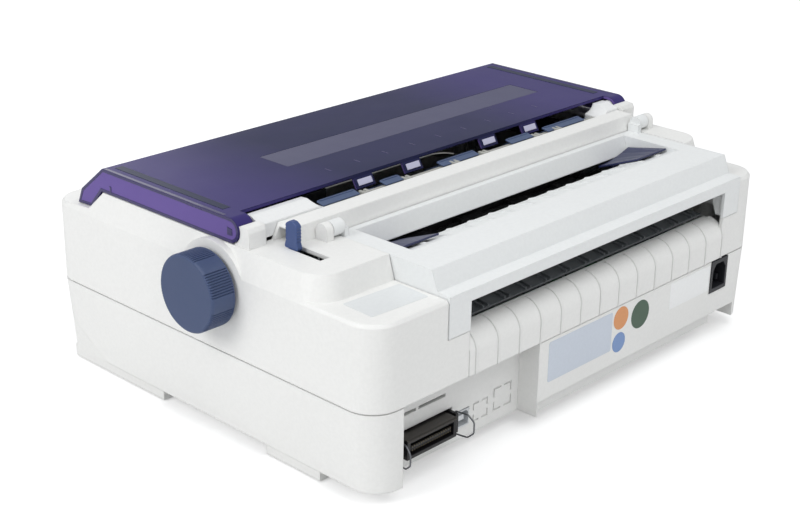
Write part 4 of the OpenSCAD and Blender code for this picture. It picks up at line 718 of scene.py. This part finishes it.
def makeLidRim(setup, name, side):
    arc = arcPoints(setup["pin"], setup["pinR"], range(-90, 91, 15))
    outer = setup["wall"] + arc + setup["crown"]
    inner = insetLoop(outer, setup["rimWidth"])
    end, lift = side * setup["endX"], setup["rimLift"]
    bm = bmesh.new()
    rings = []
    for loop, rise in ((outer, 0.0), (outer, lift), (inner, lift), (inner, 0.0)):
        rings.append([bm.verts.new(place(end + side * rise, y, z)) for y, z in loop])
    joinRings(bm, rings + rings[:1])
    bmesh.ops.recalc_face_normals(bm, faces=bm.faces)
    meshPiece(name, bm, finishes["lidRimDark"], "lid")
    spot, rib = [(end, end + side * setup["spotLift"])], [(end, end + side * setup["ribLift"])]
    prism(name + "Spot", setup["spot"], spot, "lidRimDark", "lid", 0.1)
    prism(name + "Rib", setup["rib"], rib, "lidRimDark", "lid", 0.08)


def makeLidTrim(setup):
    makeLidRim(setup, "lidRimRight", 1)
    makeLidRim(setup, "lidRimLeft", -1)
    for name, finish, (x0, x1), ends in setup["bands"]:
        outline = stripOutline(setup, ends, setup["bandLift"], setup["bandSlope"])
        prism(name, outline, [(x0, x1), (-x1, -x0)], finish, "lid", 0.05)
    half = setup["tabHalf"]
    tabs = [(x - half, x + half) for x in setup["tabs"]]
    prism("lidTabs", setup["tab"], tabs, "lavenderTab", "lid", 0.12)
    starts = [setup["tickFrom"] - i * setup["tickPitch"] for i in range(setup["ticks"])]
    ticks = [(x, x + setup["tickWidth"]) for x in starts]
    outline = stripOutline(setup, setup["tickY"], setup["tickLift"], setup["tickSlope"])
    prism("lidTicks", outline, ticks, "lidRimDark", "lid", 0.05)


makeLidTrim(lidTrim)
print("lid trimmed")

# deflector pads: the sloping blue plates that show between the lid and the bar
pads = {
    "spans": [(90.5, 122.0), (50.5, 67.0), (-23.0, 13.0), (-81.0, -57.5), (-139.0, -97.5)],
    "plate": [(178.6, 139.0), (184.9, 137.9), (185.1, 138.8), (178.8, 140.2)],
    "lip": [(179.4, 140.0), (180.4, 139.8), (180.4, 140.4), (179.4, 140.6)], "lipInset": 1.5,
}


def makePads(setup):
    inset = setup["lipInset"]
    lips = [(a + inset, b - inset) for a, b in setup["spans"]]
    prism("padPlates", setup["plate"], setup["spans"], "padBlue", "base", 0.25)
    prism("padLips", setup["lip"], lips, "padBlue", "base", 0.1)


makePads(pads)
print("pads laid")

# platen knob: plain flat face, six groups of ten fine grooves
knob = {
    "x": 197.0, "length": 18.0, "radius": 24.5, "stem": 7.0, "stemFrom": 178.0,
    "axis": (165.0, 101.5),
    "groups": 6, "perGroup": 10, "pitch": 3.8, "first": 27.0,   # degrees
    "groove": 2.1, "floor": 0.62, "depth": 0.8,
    "plainStep": 4.0, "plainSteps": (-2, -1, 0, 1, 2),   # points over the rim between two groups
    # along from the inner or outer end, down from the radius, share of the groove's depth
    "inner": [(0.1, 1.2, 0), (0.5, 0.3, 0), (1.0, 0.0, 0), (1.3, 0.0, 0), (1.6, 0.0, 1)],
    "outer": [(1.5, 0.0, 1), (0.8, 0.4, 0.75), (0.2, 1.1, 0.2), (0.0, 1.8, 0)],
}


def knobMarks(setup):
    # angles round the rim, each with a 1 where it lies in a groove
    marks = []
    groupTurn, middle = 360 / setup["groups"], (setup["perGroup"] - 1) / 2
    half = setup["groove"] / 2
    for g in range(setup["groups"]):
        for i in range(setup["perGroup"]):
            at = setup["first"] - g * groupTurn - (i - middle) * setup["pitch"]
            floor = half * setup["floor"]
            marks += [(at - half, 0), (at - floor, 1), (at + floor, 1), (at + half, 0)]
        gap = setup["first"] - (g + 0.5) * groupTurn
        marks += [(gap + k * setup["plainStep"], 0) for k in setup["plainSteps"]]
    return sorted((a % 360, cut) for a, cut in marks)


def makeKnob(setup):
    marks = knobMarks(setup)
    start, end = setup["x"], setup["x"] + setup["length"]
    rim, stem = setup["radius"], setup["stem"]
    rings = [(setup["stemFrom"], stem, 0), (start + setup["inner"][0][0], stem, 0)]
    rings += [(start + along, rim - down, share) for along, down, share in setup["inner"]]
    rings += [(end - along, rim - down, share) for along, down, share in setup["outer"]]
    cy, cz = setup["axis"]
    bm = bmesh.new()
    loops = []
    for x, radius, share in rings:
        loop = []
        for a, cut in marks:
            far, t = radius - cut * share * setup["depth"], math.radians(a)
            loop.append(bm.verts.new(place(x, cy + far * math.cos(t), cz + far * math.sin(t))))
        loops.append(loop)
    joinRings(bm, loops)
    capRings(bm, loops)
    bmesh.ops.recalc_face_normals(bm, faces=bm.faces)
    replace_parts(meshPiece("knobBody", bm, finishes["knobBlue"], "platen"), "platen_knob")


makeKnob(knob)
print("knob turned")

# paper release lever: thin paddle with notched edges, flared over the slot
lever = {
    "x": (166.2, 170.1), "y": 207.9, "deck": 130.0, "top": 147.2,
    "pivot": (211.0, 85.0), "hub": 6.0,
    "notches": 6, "notchHalf": (4.9, 4.4), "notchRise": 1.1, "notchFrom": 3.6, "notchEnds": 7.0,
    # y from the middle, z from the deck, or from the top for the tip
    "rearFoot": [(3.6, -14), (3.4, -2), (5.6, 0.5), (5.5, 1.6)],
    "tip": [(3.6, -1.5), (1.6, -0.3), (-1.4, -0.1), (-3.6, -1.5)],
    "frontFoot": [(-5.5, 1.6), (-5.6, 0.5), (-2.4, -2), (-2.4, -14)],
}


def makeLever(setup):
    y, deck, top = setup["y"], setup["deck"], setup["top"]
    wide, narrow = setup["notchHalf"]
    pitch = (top - deck - setup["notchEnds"]) / (setup["notches"] - 1)
    front, back = [], []
    for i in range(setup["notches"]):
        z = deck + setup["notchFrom"] + i * pitch
        front += [(y - wide, z), (y - narrow, z + setup["notchRise"])]
        back += [(y + wide, z), (y + narrow, z + setup["notchRise"])]
    outline = arcPoints(setup["pivot"], setup["hub"], range(-190, 11, 20))
    outline += [(y + out, deck + up) for out, up in setup["rearFoot"]] + back
    outline += [(y + out, top + up) for out, up in setup["tip"]] + list(reversed(front))
    outline += [(y + out, deck + up) for out, up in setup["frontFoot"]]
    piece = prism("leverPaddle", outline, [setup["x"]], "leverBlue", "release_lever", 0.3)
    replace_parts(piece, "release_lever")


makeLever(lever)
print("lever cut")

# wire bails of the parallel socket, leaning a little towards it
bails = {
    "y": 288.4, "z": 25.55, "reach": 13.5, "half": 7.6, "tip": 3.6, "stub": 3.6,
    "straight": 0.68, "radius": 0.5,
    "each": [("bailWireRight", 113.0, 10, "bail_right"), ("bailWireLeft", 163.5, -10, "bail_left")],
}


def makeBails(setup):
    half, tip, reach = setup["half"], setup["tip"], setup["reach"]
    straight, stub = setup["straight"] * reach, half - setup["stub"]
    upper = [(0, stub), (0, half), (straight, half), (reach, tip)]
    run = upper + [(along, -up) for along, up in reversed(upper)]
    for name, x, lean, node in setup["each"]:
        c, d = math.cos(math.radians(lean)), math.sin(math.radians(lean))
        points = [(x - along * d, setup["y"] + along * c, setup["z"] + up) for along, up in run]
        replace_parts(wirePiece(name, points, setup["radius"], "springWire", node), node)


makeBails(bails)
print("bails bent")

# parallel socket: bronze cover sheet and two rows of contacts on the tongue
socket = {
    "x": (117.0, 159.5),
    "cover": [(284.6, 32.05), (292.6, 32.05), (293.45, 31.4), (293.45, 30.7),
              (293.7, 30.7), (293.7, 31.7), (292.8, 32.35), (284.6, 32.35)],
    "tongue": (121.8, 154.8), "mid": 25.55, "thick": 1.6,
    "contacts": 18, "contactHalf": 0.3,
    "contact": [(285.0, 0.0), (285.0, 0.35), (292.2, 0.35), (292.9, -0.1),
                (292.9, -0.9), (292.5, -0.9), (292.4, 0.0)],
}


def makeSocketTrim(setup):
    prism("socketCover", setup["cover"], [setup["x"]], "bronzeShell", "base", 0.08)
    first, last = setup["tongue"]
    pitch, half = (last - first) / (setup["contacts"] - 1), setup["contactHalf"]
    mids = [first + i * pitch for i in range(setup["contacts"])]
    spans = [(x - half, x + half) for x in mids]
    for name, side in (("contactsUpper", 1), ("contactsLower", -1)):
        z = setup["mid"] + side * setup["thick"]
        outline = [(y, z + side * up) for y, up in setup["contact"]][::side]
        prism(name, outline, spans, "contactBrass", "base", 0.06)


makeSocketTrim(socket)
print("socket trimmed")
